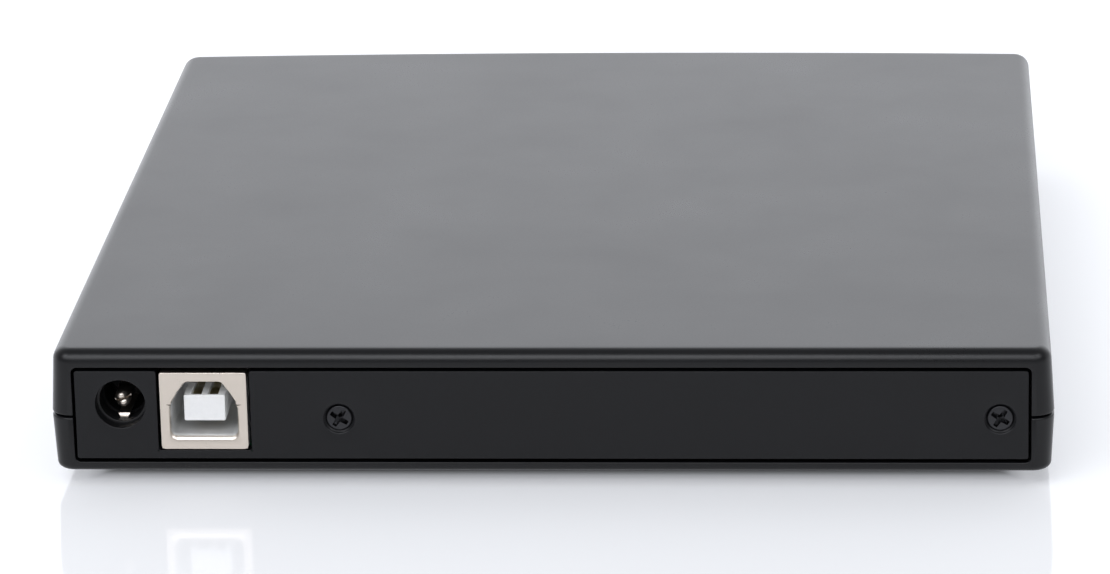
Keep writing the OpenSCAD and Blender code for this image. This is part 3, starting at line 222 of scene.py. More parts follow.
class Finish:
    """A node tree under construction: a surface finish, or the room's light."""

    def __init__(self, tree):
        self.tree = tree
        tree.nodes.clear()

    def node(self, kind, settings=None, sockets=None, out=0):
        """Adds a node with its settings and its sockets' values or links. Returns one of its outputs."""
        made = self.tree.nodes.new(kind)
        for key, value in (settings or {}).items():
            if key == "stops":
                ramp = made.color_ramp.elements
                while len(ramp) < len(value):
                    ramp.new(0.5)
                for stop, (place, level) in zip(ramp, value):
                    stop.position = place
                    stop.color = (*level, 1) if isinstance(level, tuple) else (level, level, level, 1)
            else:
                setattr(made, key, value)
        for key, value in (sockets or {}).items():
            socket = made.inputs[key]
            if isinstance(value, Link):
                self.tree.links.new(value.socket, socket)
            elif socket.type == "RGBA":
                socket.default_value = (*value, 1)
            else:
                socket.default_value = value
        return Link(self, made.outputs[out]) if made.outputs else None

    def maths(self, operation, a, b=0.0):
        """A Math node on one or two values."""
        return self.node("ShaderNodeMath", {"operation": operation}, {0: a, 1: b})

    def place(self, stretch=(1, 1, 1)):
        """Object coordinates in millimetres, stretched along each axis."""
        object_place = self.node("ShaderNodeTexCoord", out=3)
        scale = tuple(1/MM*k for k in stretch)
        return self.node("ShaderNodeMapping", {"vector_type": "POINT"},
                         {"Vector": object_place, "Scale": scale})

    def axis(self, place, index):
        """One coordinate of a place."""
        return self.node("ShaderNodeSeparateXYZ", None, {"Vector": place}, index)

    def noise(self, place, scale, detail=3.0, rough=0.5):
        """Fractal noise about 0.5, with features of about 1/scale millimetres."""
        return self.node("ShaderNodeTexNoise", None,
                         {"Vector": place, "Scale": scale, "Detail": detail, "Roughness": rough})

    def ramp(self, value, *stops):
        """A value sent through a curve of straight pieces."""
        return self.node("ShaderNodeValToRGB", {"stops": stops}, {"Fac": value})

    def mix(self, share, a, b):
        """Colour a turning into colour b as share goes from 0 to 1."""
        return self.node("ShaderNodeMix", {"data_type": "RGBA"}, {0: share, 6: a, 7: b}, 2)

    def bump(self, height, distance):
        """Normal bent by a height, whose full range is distance millimetres."""
        return self.node("ShaderNodeBump", None, {"Height": height, "Distance": distance*MM, "Strength": 1.0})

    def surface(self, **sockets):
        """The finished surface, from the named sockets of the principled shader."""
        named = {key.replace("_", " "): value for key, value in sockets.items()}
        shader = self.node("ShaderNodeBsdfPrincipled", None, named)
        self.node("ShaderNodeOutputMaterial", None, {"Surface": shader})


def shade(colour, factor):
    """A colour made lighter or darker."""
    return tuple(min(1, channel*factor) for channel in colour)


def moulded(f, colour, rough=0.45, grain=6.0, height=0.012, mottle=0.25, ior=1.46, spread=0.06):
    """Moulded plastic: eroded texture of fine grain, slow mottling of the colour and of the gloss."""
    place = f.place()
    fine = f.noise(place, grain, 2.0, 0.55)
    slow = f.noise(place, 0.05, 4.0, 0.6)
    specks = f.noise(place, grain*0.45, 3.0, 0.6)
    share = f.ramp(slow*0.6 + specks*0.4, (0.3, 0.0), (0.7, 1.0))
    f.surface(Base_Color=f.mix(share, shade(colour, 1 - mottle), shade(colour, 1 + mottle)),
              Roughness=rough - spread/2 + spread*share + (fine - 0.5)*0.08, IOR=ior,
              Normal=f.bump(fine*0.7 + specks*0.3, height))


def plated(f, colour, rough=0.28, drawn=(1, 1, 1), marks=0.10, height=0.003):
    """Plated or drawn metal: fine marks along one direction, faint clouding and small dull spots."""
    marks_along = f.noise(f.place(drawn), 5.0, 3.0, 0.6)
    cloud = f.noise(f.place(), 0.18, 4.0, 0.55)
    spots = f.ramp(f.noise(f.place(), 1.4, 2.0, 0.5), (0.62, 0.0), (0.75, 1.0))
    f.surface(Base_Color=f.mix(cloud, shade(colour, 0.88), shade(colour, 1.08)), Metallic=1.0,
              Roughness=rough + (marks_along - 0.5)*marks + (cloud - 0.5)*0.12 + spots*0.06,
              Normal=f.bump(marks_along, height))


def drawn_shell(f, colour):
    """Plated socket shell: satin flange; within its mouth the plating is painted paler and less metallic,
    painted light that brightens the mouth's floor, and it is duller there.
    """
    place = f.place()
    x, y, z = (f.axis(place, n) for n in range(3))
    # Painted light: behind the flange the plating turns paler and less metallic, so the mouth's floor looks
    # lit.
    painted_paler_mouth = f.ramp(y*0.1 - (SHELL[1][1]*0.1 - 0.5), (0.44, 1.0), (0.47, 0.0))
    painted_paler_mouth = painted_paler_mouth*(x < SHELL[1][0])*(z < SHELL[1][2] - 1.2)
    marks = f.noise(f.place((1, 0.1, 1)), 5.0, 3.0, 0.6)
    cloud = f.noise(place, 0.18, 4.0, 0.55)
    satin = f.mix(cloud, shade(colour, 0.92), shade(colour, 1.06))
    f.surface(Base_Color=f.mix(painted_paler_mouth, satin, (0.84, 0.84, 0.83)), Metallic=1 - painted_paler_mouth*0.36,
              Roughness=0.30 + painted_paler_mouth*0.14 + (marks - 0.5)*0.08 + (cloud - 0.5)*0.1,
              Normal=f.bump(marks, 0.002))


def elastic(f, colour, rough=0.75):
    """Rubber: dull, with a dusty bloom and a fine moulded skin."""
    place = f.place()
    bloom = f.ramp(f.noise(place, 0.7, 5.0, 0.65), (0.35, 0.0), (0.75, 1.0))
    skin = f.noise(place, 4.0, 3.0, 0.6)
    f.surface(Base_Color=f.mix(bloom, colour, shade(colour, 2.2)), Roughness=rough + (skin - 0.5)*0.16,
              Normal=f.bump(skin, 0.02))


def board(f, colour):
    """Circuit board: green mask over raised tracks, which turn from patch to patch, and plated rings around
    holes that are painted near-black as painted shade.
    """
    place = f.place()
    across, along = f.axis(place, 0), f.axis(place, 1)
    turned = f.noise(place, 0.11, 1.0, 0.4) > 0.5
    tracks = f.maths("PINGPONG", across*(1 - turned) + along*turned, 0.45)
    raised = f.ramp(tracks, (0.18, 0.0), (0.26, 1.0))
    cells = f.node("ShaderNodeTexVoronoi", {"feature": "F1"},
                   {"Vector": place, "Scale": 0.28, "Randomness": 0.8})
    ring, hole = (cells < 0.13)*(cells > 0.06), cells < 0.06
    green = f.mix(raised, shade(colour, 0.75), shade(colour, 1.5))
    tinned = f.mix(ring, green, (0.62, 0.60, 0.52))
    # Painted shade: each hole is a near-black disc that stands in for the dark of the hole.
    f.surface(Base_Color=f.mix(hole, tinned, (0.01, 0.01, 0.01)), Metallic=ring,
              Roughness=0.34 + (f.noise(place, 2.0) - 0.5)*0.15, Normal=f.bump(raised + ring, 0.03))


def wound(f, colour):
    """Enamelled winding: turns of wire side by side, with painted shade in the creases between turns."""
    place, half_pitch = f.place(), 0.11
    turns = f.maths("PINGPONG", f.axis(place, 0) + f.noise(place, 0.5)*0.06, half_pitch)
    tall = (turns/half_pitch)**0.5
    # Painted shade: the colour darkens where the wire's height falls into the creases between turns; the same
    # height drives the bump.
    f.surface(Base_Color=f.mix(tall, shade(colour, 0.35), shade(colour, 1.15)), Metallic=1.0,
              Roughness=0.28 + f.noise(place, 1.2)*0.16, Normal=f.bump(tall, 0.06))


def flat_cable(f, colour):
    """Flat cable: pale film over dull conductors that run its whole length."""
    place = f.place()
    wires = f.maths("PINGPONG", f.axis(place, 0), 0.25)
    metal = f.ramp(wires, (0.10, 0.0), (0.15, 1.0))
    dust = f.noise(place, 0.6, 4.0)
    f.surface(Base_Color=f.mix(metal*0.55, shade(colour, 0.95), (0.50, 0.50, 0.49)),
              Roughness=0.32 + dust*0.2, Normal=f.bump(wires, 0.04))


def clear_moulding(f, colour, rough=0.12):
    """Clear resin over a bright core: glossy, with faint flow lines."""
    flow = f.noise(f.place((1, 0.2, 1)), 1.5, 3.0)
    f.surface(Base_Color=f.mix(flow, shade(colour, 0.75), shade(colour, 1.1)), Roughness=rough + flow*0.08,
              Coat_Weight=0.6, Normal=f.bump(flow, 0.01))


def coated_lens(f, colour):
    """Coated lens: deep coloured glass, violet at grazing angles."""
    edge = f.node("ShaderNodeLayerWeight", None, {"Blend": 0.45}, 1)
    dust = f.noise(f.place(), 3.0, 2.0)
    f.surface(Base_Color=f.mix(edge, colour, (0.12, 0.05, 0.18)), Roughness=0.03 + dust*0.04, IOR=1.7,
              Coat_Weight=1.0, Coat_Roughness=0.02)


def sintered(f, colour):
    """Sintered magnet: dark grains with bright flecks."""
    place = f.place()
    grains = f.noise(place, 9.0, 4.0, 0.7)
    flecks = f.ramp(grains, (0.60, 0.0), (0.72, 1.0))
    f.surface(Base_Color=f.mix(flecks, colour, shade(colour, 2.6)), Metallic=0.7,
              Roughness=0.48 + grains*0.15, Normal=f.bump(grains, 0.03))


# Builder, colour and values of each of the record's material slots. A colour's name stands for that setting.
# The values of moulded are roughness, grain, height, mottle and IOR, those of plated are roughness, stretch,
# marks and height, and elastic and clear_moulding take a roughness.
RECIPES = {
    "case_plastic": (moulded, "case", 0.30, 5.0, 0.006, 0.22, 1.38),
    "panel_plastic": (moulded, "panel", 0.38, 5.5, 0.010, 0.25, 1.36),
    "bezel_plastic": (moulded, "bezel", 0.34, 5.0, 0.008, 0.22),
    "tray_plastic": (moulded, "tray", 0.42, 4.0, 0.014, 0.20),
    "jack_plastic": (moulded, (0.005, 0.005, 0.0057), 0.46, 3.0, 0.008, 0.3),
    "white_plastic": (moulded, "white", 0.38, 3.0, 0.008, 0.06),
    "cream_plastic": (moulded, (0.66, 0.60, 0.47), 0.42, 3.0, 0.008, 0.08),
    "guide_plastic": (moulded, (0.030, 0.030, 0.033), 0.36, 3.0, 0.010, 0.25),
    "hub_plastic": (moulded, (0.024, 0.024, 0.026), 0.34, 3.5, 0.010, 0.25),
    "chip_plastic": (moulded, (0.014, 0.014, 0.015), 0.52, 4.0, 0.016, 0.3),
    "foot_rubber": (elastic, (0.012, 0.012, 0.012), 0.72),
    "damper_rubber": (elastic, (0.018, 0.018, 0.018), 0.66),
    "pad_rubber": (elastic, (0.022, 0.022, 0.022), 0.80),
    "black_screw": (plated, (0.045, 0.045, 0.048), 0.30, (1, 1, 1), 0.14, 0.006),
    "cover_black": (plated, (0.040, 0.040, 0.043), 0.42, (1, 0.1, 1), 0.10),
    "nickel": (drawn_shell, "nickel"),
    "gold_contact": (plated, "gold", 0.24, (1, 0.1, 1), 0.10),
    "sheet_steel": (plated, "steel", 0.34, (1, 0.06, 1), 0.16),
    "plated_screw": (plated, (0.62, 0.62, 0.61), 0.26, (1, 1, 1), 0.12),
    "rail_steel": (plated, (0.64, 0.64, 0.65), 0.24, (1, 0.04, 1), 0.14),
    "lever_steel": (plated, (0.55, 0.56, 0.57), 0.34, (0.2, 1, 1), 0.14),
    "spring_steel": (plated, (0.50, 0.50, 0.51), 0.26, (1, 1, 1), 0.10),
    "rod_steel": (plated, (0.74, 0.74, 0.75), 0.14, (1, 1, 0.3), 0.06),
    "motor_can": (plated, (0.60, 0.60, 0.62), 0.26, (1, 1, 0.1), 0.12),
    "pickup_metal": (plated, (0.42, 0.43, 0.44), 0.46, (1, 1, 1), 0.16, 0.02),
    "magnet": (sintered, (0.09, 0.09, 0.10)),
    "circuit_board": (board, "mask"),
    "copper_coil": (wound, "copper"),
    "ribbon": (flat_cable, (0.76, 0.77, 0.78)),
    "light_pipe": (clear_moulding, (0.42, 0.56, 0.36)),
    "lamp": (clear_moulding, (0.80, 0.82, 0.68), 0.2),
    "lens_glass": (coated_lens, (0.010, 0.016, 0.045)),
}


def finish(slot):
    """The material of a slot, built once."""
    found = bpy.data.materials.get(slot)
    if found is None or not found.get("dressed"):
        builder, colour, *values = RECIPES[slot]
        if isinstance(colour, str):
            colour = tuple(getattr(bpy.context.scene.drive_finish, colour))
        found = bpy.data.materials.new(slot)
        found.use_nodes = True
        builder(Finish(found.node_tree), colour, *values)
        found["dressed"] = True
    return found


# Surfaces

class Skin:
    """Points and faces of one piece, gathered patch by patch in millimetres."""

    def __init__(self):
        self.points = []
        self.faces = []
        self.count = 0

    def grid(self, p, side, wrap=False, keep=None):
        """Adds the cells of a grid of points p[row, column]. Side is where its faces look: a vector, or one
        for each point. Wrap joins the last column to the first, and keep picks the cells that stay."""
        p = np.asarray(p, float)
        side = np.broadcast_to(np.asarray(side, float), p.shape)
        if wrap:
            p = np.concatenate([p, p[:, :1]], axis=1)
            side = np.concatenate([side, side[:, :1]], axis=1)
        rows, columns = p.shape[:2]
        k = np.arange(rows*columns).reshape(rows, columns)
        cells = np.stack([k[:-1, :-1], k[:-1, 1:], k[1:, 1:], k[1:, :-1]], axis=-1)
        flat = p.reshape(-1, 3)
        corner = flat[cells]
        normal = np.cross(corner[..., 2, :] - corner[..., 0, :], corner[..., 3, :] - corner[..., 1, :])
        if (normal*side[:-1, :-1]).sum() < 0:
            cells = cells[..., ::-1]
        if keep is not None:
            cells = cells[keep]
        self.faces += (cells.reshape(-1, 4) + self.count).tolist()
        self.points.append(flat)
        self.count += len(flat)

    def cap(self, ring, side):
        """Closes a ring of points with one flat face that looks to side."""
        ring = np.asarray(ring, float)
        area = np.cross(ring, np.roll(ring, -1, axis=0)).sum(axis=0)
        if area @ np.asarray(side, float) < 0:
            ring = ring[::-1]
        self.faces.append(list(range(self.count, self.count + len(ring))))
        self.points.append(ring)
        self.count += len(ring)

    def mesh(self, name, sharp):
        """The gathered faces as a smooth mesh, with hard edges where they meet at over sharp degrees."""
        mesh = bpy.data.meshes.new(name)
        mesh.from_pydata((np.concatenate(self.points)*MM).tolist(), [], self.faces)
        work = bmesh.new()
        work.from_mesh(mesh)
        bmesh.ops.remove_doubles(work, verts=work.verts, dist=2e-6)
        work.to_mesh(mesh)
        work.free()
        mesh.shade_smooth()
        mesh.set_sharp_from_angle(angle=math.radians(sharp))
        return mesh

    def build(self, name, node, sharp=35, ride=True):
        """Makes the piece that stands for a CAD node, with its finish, on its body."""
        mesh = self.mesh(name, sharp)
        piece = bpy.data.objects.new(name, mesh)
        bpy.context.scene.collection.objects.link(piece)
        slot = SLOT_OF[node]
        mesh.materials.append(finish(slot))
        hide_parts(node)
        if ride:
            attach(piece, BODY_OF[node])
        return piece


def xyz(x, y, z):
    """Points with these coordinates, each spread over the others."""
    return np.stack(np.broadcast_arrays(x, y, z), axis=-1)


def lying(x, z, level):
    """Upright section (x, z) at a place along the depth."""
    return xyz(x, level, z)


def rounded(corners, radius, steps=7):
    """Polygon with an arc at each corner that touches both its edges. Returns points and outward normals."""
    p = np.asarray(corners, float)
    radius = np.broadcast_to(radius, len(p))
    onward = np.roll(p, -1, axis=0)
    if (p[:, 0]*onward[:, 1] - p[:, 1]*onward[:, 0]).sum() < 0:
        p, radius = p[::-1], radius[::-1]
    before = np.roll(p, 1, axis=0) - p
    after = np.roll(p, -1, axis=0) - p
    before /= np.linalg.norm(before, axis=1, keepdims=True)
    after /= np.linalg.norm(after, axis=1, keepdims=True)
    half = np.arccos(np.clip((before*after).sum(axis=1), -1, 1))/2
    middle = before + after
    middle /= np.linalg.norm(middle, axis=1, keepdims=True)
    centre = p + middle*(radius/np.sin(half))[:, None]
    start = np.arctan2(before[:, 0], -before[:, 1])
    turn = (np.arctan2(-after[:, 0], after[:, 1]) - start + np.pi) % (2*np.pi) - np.pi
    angle = start[:, None] + turn[:, None]*np.linspace(0, 1, steps)
    normal = np.stack([np.cos(angle), np.sin(angle)], axis=-1)
    point = centre[:, None] + (np.sign(turn)*radius)[:, None, None]*normal
    return point.reshape(-1, 2), normal.reshape(-1, 2)


def box_outline(x0, x1, z0, z1, radius, steps=7):
    """Rounded rectangle."""
    return rounded([(x0, z0), (x1, z0), (x1, z1), (x0, z1)], radius, steps)


def circle(radius, x=0.0, z=0.0, steps=96):
    """Circle with its outward normals."""
    angle = np.linspace(0, 2*np.pi, steps, endpoint=False)
    normal = np.stack([np.cos(angle), np.sin(angle)], axis=-1)
    return radius*normal + (x, z), normal


def over_edge(radius, steps=6):
    """Rows (inset, depth) of a quarter round from a face over its edge."""
    angle = np.linspace(0, np.pi/2, steps)
    return [(radius*(1 - math.sin(a)), radius*(1 - math.cos(a))) for a in angle]


def prism(skin, lift, outline, rows, ends=(True, True)):
    """An outline drawn in by each row's inset and set at its level; its ends are closed with flat faces."""
    points, normals = outline
    rings = [lift(*(points - inset*normals).T, level) for inset, level in rows]
    out = [lift(*(points - (inset - 1)*normals).T, level) for inset, level in rows]
    skin.grid(rings, np.array(out) - rings, wrap=True)
    way = lift(0, 0, rows[-1][1]) - lift(0, 0, rows[0][1])
    if ends[0]:
        skin.cap(rings[0], -way)
    if ends[1]:
        skin.cap(rings[-1], way)


def block(skin, lift, outline, start, end, edge):
    """A prism with rounded ends: over the edge at the start, along, and over the edge at the end."""
    way = 1 if end > start else -1
    first = [(inset, start + way*depth) for inset, depth in over_edge(edge)]
    last = [(inset, end - way*depth) for inset, depth in reversed(over_edge(edge))]
    middle = [(edge*1.6, start)]
    prism(skin, lift, outline, middle + first + last + [(edge*1.6, end)])


def plate(skin, lift, border, rim, strips, out, floors=True):
    """A plate whose face is laid in strips (x0, x1, z0, z1, hole). A hole is (centre, outline, rows): its
    rows of (outset, depth) lead into it, and the face runs straight from the first row to the strip's edge."""
    points, normals = border
    rows = [lift(*(points - inset*normals).T, depth) for inset, depth in rim]
    over = [lift(*(points - (inset - 1)*normals).T, depth) for inset, depth in rim]
    skin.grid(rows, np.array(over) - rows, wrap=True)
    for x0, x1, z0, z1, hole in strips:
        if hole is None:
            x, z = np.meshgrid(np.linspace(x0, x1, 25), (z0, z1))
            skin.grid(lift(x, z, 0), out)
            continue
        centre, (edge, normal), into = hole
        centre = np.array(centre)
        own = np.arctan2(edge[:, 1] - centre[1], edge[:, 0] - centre[0])
        corner = np.arctan2(np.array([z0, z0, z1, z1]) - centre[1], np.array([x0, x1, x0, x1]) - centre[0])
        even = np.linspace(-3.14, 3.14, 61)
        angle = np.unique(np.round(np.concatenate([own, corner, even]), 6))
        order = np.argsort(own)

        def around(values):
            return np.stack([np.interp(angle, own[order], v[order], period=2*np.pi) for v in values.T],
                            axis=-1)

        ring, away = around(edge), around(normal)
        inner = ring + into[0][0]*away
        ray = np.stack([np.cos(angle), np.sin(angle)], axis=-1)
        limit = np.where(ray > 0, (np.array([x1, z1]) - centre), (centre - np.array([x0, z0])))
        reach = np.min(limit/np.maximum(np.abs(ray), 1e-9), axis=1)
        outer = centre + ray*reach[:, None]
        share = np.linspace(0, 1, 3)[:, None, None]
        face = inner + (outer - inner)*share
        skin.grid(lift(face[..., 0], face[..., 1], 0), out, wrap=True)
        wall = np.array([lift(*(ring + outset*away).T, depth) for outset, depth in into])
        middle = np.array([lift(*centre, depth) for outset, depth in into])[:, None]
        skin.grid(wall, middle - wall + 0.5*np.asarray(out), wrap=True)
        if floors:
            skin.cap(wall[-1], out)


# Case

class Outline:
    """Plan outline of the case against the distance s from the middle of its rear edge: half the rear edge, a
    corner arc, the side, a corner arc and half of the bowed front edge, mirrored for negative s."""

    FRONT_STEPS = 41

    def __init__(self, c):
        width, depth, r, bow = (v/MM for v in (c.half_width, c.half_depth, c.corner, c.bow))
        cx, cy = width - r, depth - r
        slope = math.atan(2*bow/cx)
        rear = np.linspace(np.pi/2, 0, 33)
        front = np.linspace(0, slope - np.pi/2, 33)
        x = np.linspace(cx, 0, self.FRONT_STEPS)
        rise = 2*bow*x/cx**2
        steep = np.sqrt(1 + rise**2)
        self.x = np.concatenate([[0], cx + r*np.cos(rear), cx + r*np.cos(front), x])
        self.y = np.concatenate([[depth], cy + r*np.sin(rear),
                                 bow - depth + r*math.cos(slope) + r*np.sin(front), bow*(x/cx)**2 - depth])
        self.nx = np.concatenate([[0], np.cos(rear), np.cos(front), rise/steep])
        self.ny = np.concatenate([[1], np.sin(rear), np.sin(front), -1/steep])
        self.s = np.concatenate([[0], np.cumsum(np.hypot(np.diff(self.x), np.diff(self.y)))])
        self.length = self.s[-1]
        self.around = np.concatenate([-self.s[:0:-1], self.s])

    def at(self, s, inset=0.0):
        """Point at s, drawn in along its normal."""
        far, side = np.abs(s), np.where(np.asarray(s) < 0, -1.0, 1.0)
        x, y, nx, ny = (np.interp(far, self.s, v) for v in (self.x, self.y, self.nx, self.ny))
        return side*(x - inset*nx), y - inset*ny

    def sideways(self, s):
        """How far the outline faces sideways at s: 0 along the ends, 1 along the sides."""
        return np.interp(np.abs(s), self.s, self.nx)**2

    def front(self, half):
        """Distance from the front edge's middle to where it is half wide."""
        bow = slice(len(self.x) - self.FRONT_STEPS, None)
        return float(self.length - np.interp(-half, -self.x[bow], self.s[bow]))


def case_shell(c, way):
    """One shell: h is the distance from the seam. The wall draws in by the groove at the seam, the slope and
    the quarter round of the edge; both ends have an opening with a rounded lip. An inner wall closes it."""
    skin = Skin()
    line = Outline(c)
    seam, wall, lip, rc = c.seam/MM, c.wall/MM, c.lip/MM, c.opening_corner/MM
    if way > 0:
        edge, draft, lean, flat = c.top_edge/MM, 0.0, c.lean/MM, c.top/MM - seam
        opening, inner = c.opening_high/MM - seam, c.roof/MM - seam
    else:
        edge, draft, lean, flat = c.bottom_edge/MM, c.draft/MM, 0.0, seam - c.underside/MM
        opening, inner = seam - c.opening_low/MM, seam - c.floor/MM
    start, low = flat - edge, c.slit/MM
    groove_height, plain_wall, rim, margin, hair = 0.26, 0.5, 0.8, 0.7, 1e-9
    middle = np.array([0, 0, seam])

    def place(s, h, depth=0.0):
        bend = edge*(1 - np.sqrt(1 - np.clip((h - start)/edge, 0, 1)**2))
        groove = c.groove/MM*np.clip(1 - (h - low)/groove_height, 0, 1)**2
        slope = (draft + lean*line.sideways(s))*np.clip(h/start, 0, 1)
        return xyz(*line.at(s, bend + groove + slope + depth), seam + way*h)

    rise = low + np.array([0, 0.04, 0.09, 0.16, groove_height])
    over = start + edge*np.sin(np.linspace(0, np.pi/2, 11))
    over[-1] = flat - hair
    band = place(line.around[None], over[:, None])
    skin.grid(band, band - middle)
    ring = place(line.around[None], np.full((2, 1), flat - hair), np.array([[0.0], [rim]]))
    skin.grid(ring, (0, 0, way))
    skin.cap(ring[-1][:-1], (0, 0, way))

    rear, front = c.opening/MM, line.front(c.opening/MM)
    ends = [(lambda u: u, rear, 1),
            (lambda u: np.where(u < 0, -1, 1)*(line.length - np.abs(u)), front, -1)]
    opened = (rear, line.length - front)
    side = line.s[(line.s > opened[0] + margin) & (line.s < opened[1] - margin)]
    side = np.concatenate([[opened[0] + margin], side, [opened[1] - margin]])
    rows = np.concatenate([rise, np.linspace(plain_wall, start, 4)])
    for sign in (-1, 1):
        patch = place(sign*side[None], rows[:, None])
        skin.grid(patch, patch - middle)

    turn = np.linspace(0, np.pi/2, 9)[1:-1]
    share = turn/(np.pi/2)
    stand = np.concatenate([rise, [opening - rc]])
    count = len(stand) + len(turn)

    def mirrored(u, h):
        return np.concatenate([u, -u[:count][::-1]]), np.concatenate([h, h[:count][::-1]])

    for to_s, half, facing in ends:
        across = np.linspace(half - rc, rc - half, 41)

        def border(e):
            return mirrored(
                np.concatenate([np.full(len(stand), half + e), half - rc + (rc + e)*np.cos(turn), across]),
                np.concatenate([stand, opening - rc + (rc + e)*np.sin(turn),
                                np.full(len(across), opening + e)]))

        u_out, h_out = mirrored(
            np.concatenate([np.full(len(stand), half + margin),
                            half + margin - (margin + rc)*np.clip(2*share - 1, 0, 1), across]),
            np.concatenate([stand, opening - rc + (start - opening + rc)*np.clip(2*share, 0, 1),
                            np.full(len(across), start)]))
        u_in, h_in = border(lip)
        t = np.linspace(0, 1, 3)[:, None]
        skin.grid(place(to_s(u_in + (u_out - u_in)*t), h_in + (h_out - h_in)*t), (0, facing, 0))
        profile = over_edge(lip) + [(0.0, wall)]
        reveal = np.array([place(to_s(border(e)[0]), border(e)[1], d) for e, d in profile])
        skin.grid(reveal, middle - reveal*np.array([1, 0, 1]))

    s = np.unique(np.concatenate([line.around, [v*k for v in opened for k in (-1, 1)]]))
    centre = np.abs(s[1:] + s[:-1])/2
    between = (centre < opened[0]) | (centre > opened[1])
    levels = np.unique([low, opening, inner])
    lining = xyz(*line.at(s[None], wall), seam + way*levels[:, None])
    keep = np.ones((len(levels) - 1, len(s) - 1), bool)
    keep[0] = ~between
    skin.grid(lining, middle - lining*np.array([1, 1, 0]), keep=keep)
    skin.cap(lining[-1][:-1], (0, 0, -way))
    rim_rows = np.stack([place(s, np.full(len(s), low)), lining[0]])
    skin.grid(rim_rows, (0, 0, -way), keep=~between[None])
    return skin


class DRIVE_OT_case(bpy.types.Operator):
    """Upper and lower case shells, rounded along every edge, with the seam groove between them."""
    bl_idname = "drive.case"
    bl_label = "Case shells"

    def execute(self, context):
        c = context.scene.drive_case
        case_shell(c, 1).build("case_top", "top_cover")
        case_shell(c, -1).build("case_bottom", "bottom_cover")
        return {"FINISHED"}


class DRIVE_OT_feet(bpy.types.Operator):
    """Four rubber feet, turned from a profile with a rounded rim and a shallow dish."""
    bl_idname = "drive.feet"
    bl_label = "Feet"

    def execute(self, context):
        low, high = span("rubber_feet")
        radius, rim = 5.0, 0.7
        dish = [(radius - 2.6, 0.12), (radius - 3.2, 0.04), (radius - 3.6, 0.0), (0.9, 0.0)]
        rows = dish + over_edge(rim, 8) + [(0.0, high[2])]
        skin = Skin()
        for x in (low[0] + radius, high[0] - radius):
            for y in (low[1] + radius, high[1] - radius):
                prism(skin, xyz, circle(radius, x, y), rows)
        skin.build("feet", "rubber_feet")
        return {"FINISHED"}


# Rear panel, screws and sockets

def to_rear(face):
    """Lift for pieces that look to the rear: depth runs from their face into the case."""
    def lift(x, z, depth):
        return lying(x, z, face - depth)
    return lift


class DRIVE_OT_panel(bpy.types.Operator):
    """Rear panel with its notch for the data socket, the jack's hole and two countersinks."""
    bl_idname = "drive.panel"
    bl_label = "Rear panel"

    def execute(self, context):
        c, k = context.scene.drive_case, context.scene.drive_socket
        (x0, back, z0), (x1, face, z1) = PANEL
        low_gap, high_gap, notch_gap, corner, head_room = 0.12, 0.1, 0.4, 0.35, 0.3
        z0, z1, r = z0 + low_gap, z1 - high_gap, c.panel_edge/MM
        n0, n1, nz = SHELL[0][0] - notch_gap, SHELL[1][0] + notch_gap, SHELL[0][2] - notch_gap/2
        low, high = span("panel_screws")
        head = k.head_radius/MM
        near, far, level = high[0] - head, low[0] + head, (low[2] + high[2])/2
        near_cut, far_cut = near - 9, far + 7
        jack = ((JACK[0][0] + JACK[1][0])/2, (PIN[0][2] + PIN[1][2])/2)
        notch = [(n1, z1), (n1, nz), (n0, nz), (n0, z1)]
        border = rounded([(x0, z0), (x1, z0), (x1, z1), *notch, (x0, z1)], corner)
        cone = over_edge(0.28, 7) + [(-1.0, 1.2), (-1.0, face - back)]
        bore = over_edge(0.15) + [(0.0, face - back)]

        def drilled(x, z, radius, rows):
            return (x, z), circle(radius, x, z), rows

        z0, z1 = z0 + r, z1 - r
        strips = [
            (n1 + r, x1 - r, z0, z1, drilled(*jack, k.jack_hole/MM, bore)),
            (n0 - r, n1 + r, z0, nz - r, None),
            (near_cut, n0 - r, z0, z1, drilled(near, level, head + head_room, cone)),
            (far_cut, near_cut, z0, z1, None),
            (x0 + r, far_cut, z0, z1, drilled(far, level, head + head_room, cone)),
        ]
        rim = over_edge(r) + [(0.0, face - back), (r, face - back)]
        skin = Skin()
        plate(skin, to_rear(face), border, rim, strips, (0, 1, 0), floors=False)
        skin.build("panel", "rear_panel")
        return {"FINISHED"}


class DRIVE_OT_screws(bpy.types.Operator):
    """Panel screws: a low dome over polar coordinates with a tapered cross recess, on a cone and shank."""
    bl_idname = "drive.screws"
    bl_label = "Panel screws"

    def execute(self, context):
        k = context.scene.drive_socket
        low, high = span("panel_screws")
        head, shank, face, level = k.head_radius/MM, 1.0, high[1], (low[2] + high[2])/2
        arm, half, depth, crown, land, collar = 1.34, 0.36, 1.4, 0.10, 0.93, 0.16
        rho = np.linspace(0, 1, 72)[:, None]
        theta = np.linspace(0, 2*np.pi, 289)[None]
        u0, v0 = head*rho*np.cos(theta), head*rho*np.sin(theta)
        recess = np.zeros_like(u0)
        for turn in (k.cross_angle, k.cross_angle + np.pi/2):
            u = u0*np.cos(turn) + v0*np.sin(turn)
            v = v0*np.cos(turn) - u0*np.sin(turn)
            width = half*(1 - 0.25*np.abs(u)/arm)
            wall = np.clip((width - np.abs(v))/0.05 + 0.5, 0, 1)*np.clip((arm - np.abs(u))/0.12, 0, 1)
            recess = np.maximum(recess, wall*wall*(3 - 2*wall)*(depth - 0.4*np.abs(u)/arm))
        recess = recess*(1 - 0.55*np.clip(1 - rho*head/0.3, 0, 1))
        dome = crown*(1 - rho**2) - crown*np.clip((rho - land)/0.07, 0, 1)**2
        rows = [(0.0, face - crown), (0.03, face - collar), (head - shank, face - collar - head + shank),
                (head - shank, low[1] + 0.4), (head - shank + 0.35, low[1])]
        skin = Skin()
        for x in (low[0] + head, high[0] - head):
            skin.grid(xyz(x + u0, face + dome - recess, level + v0), (0, 1, 0))
            prism(skin, lying, circle(head, x, level), rows, (False, True))
        skin.build("screws", "panel_screws", sharp=40)
        return {"FINISHED"}


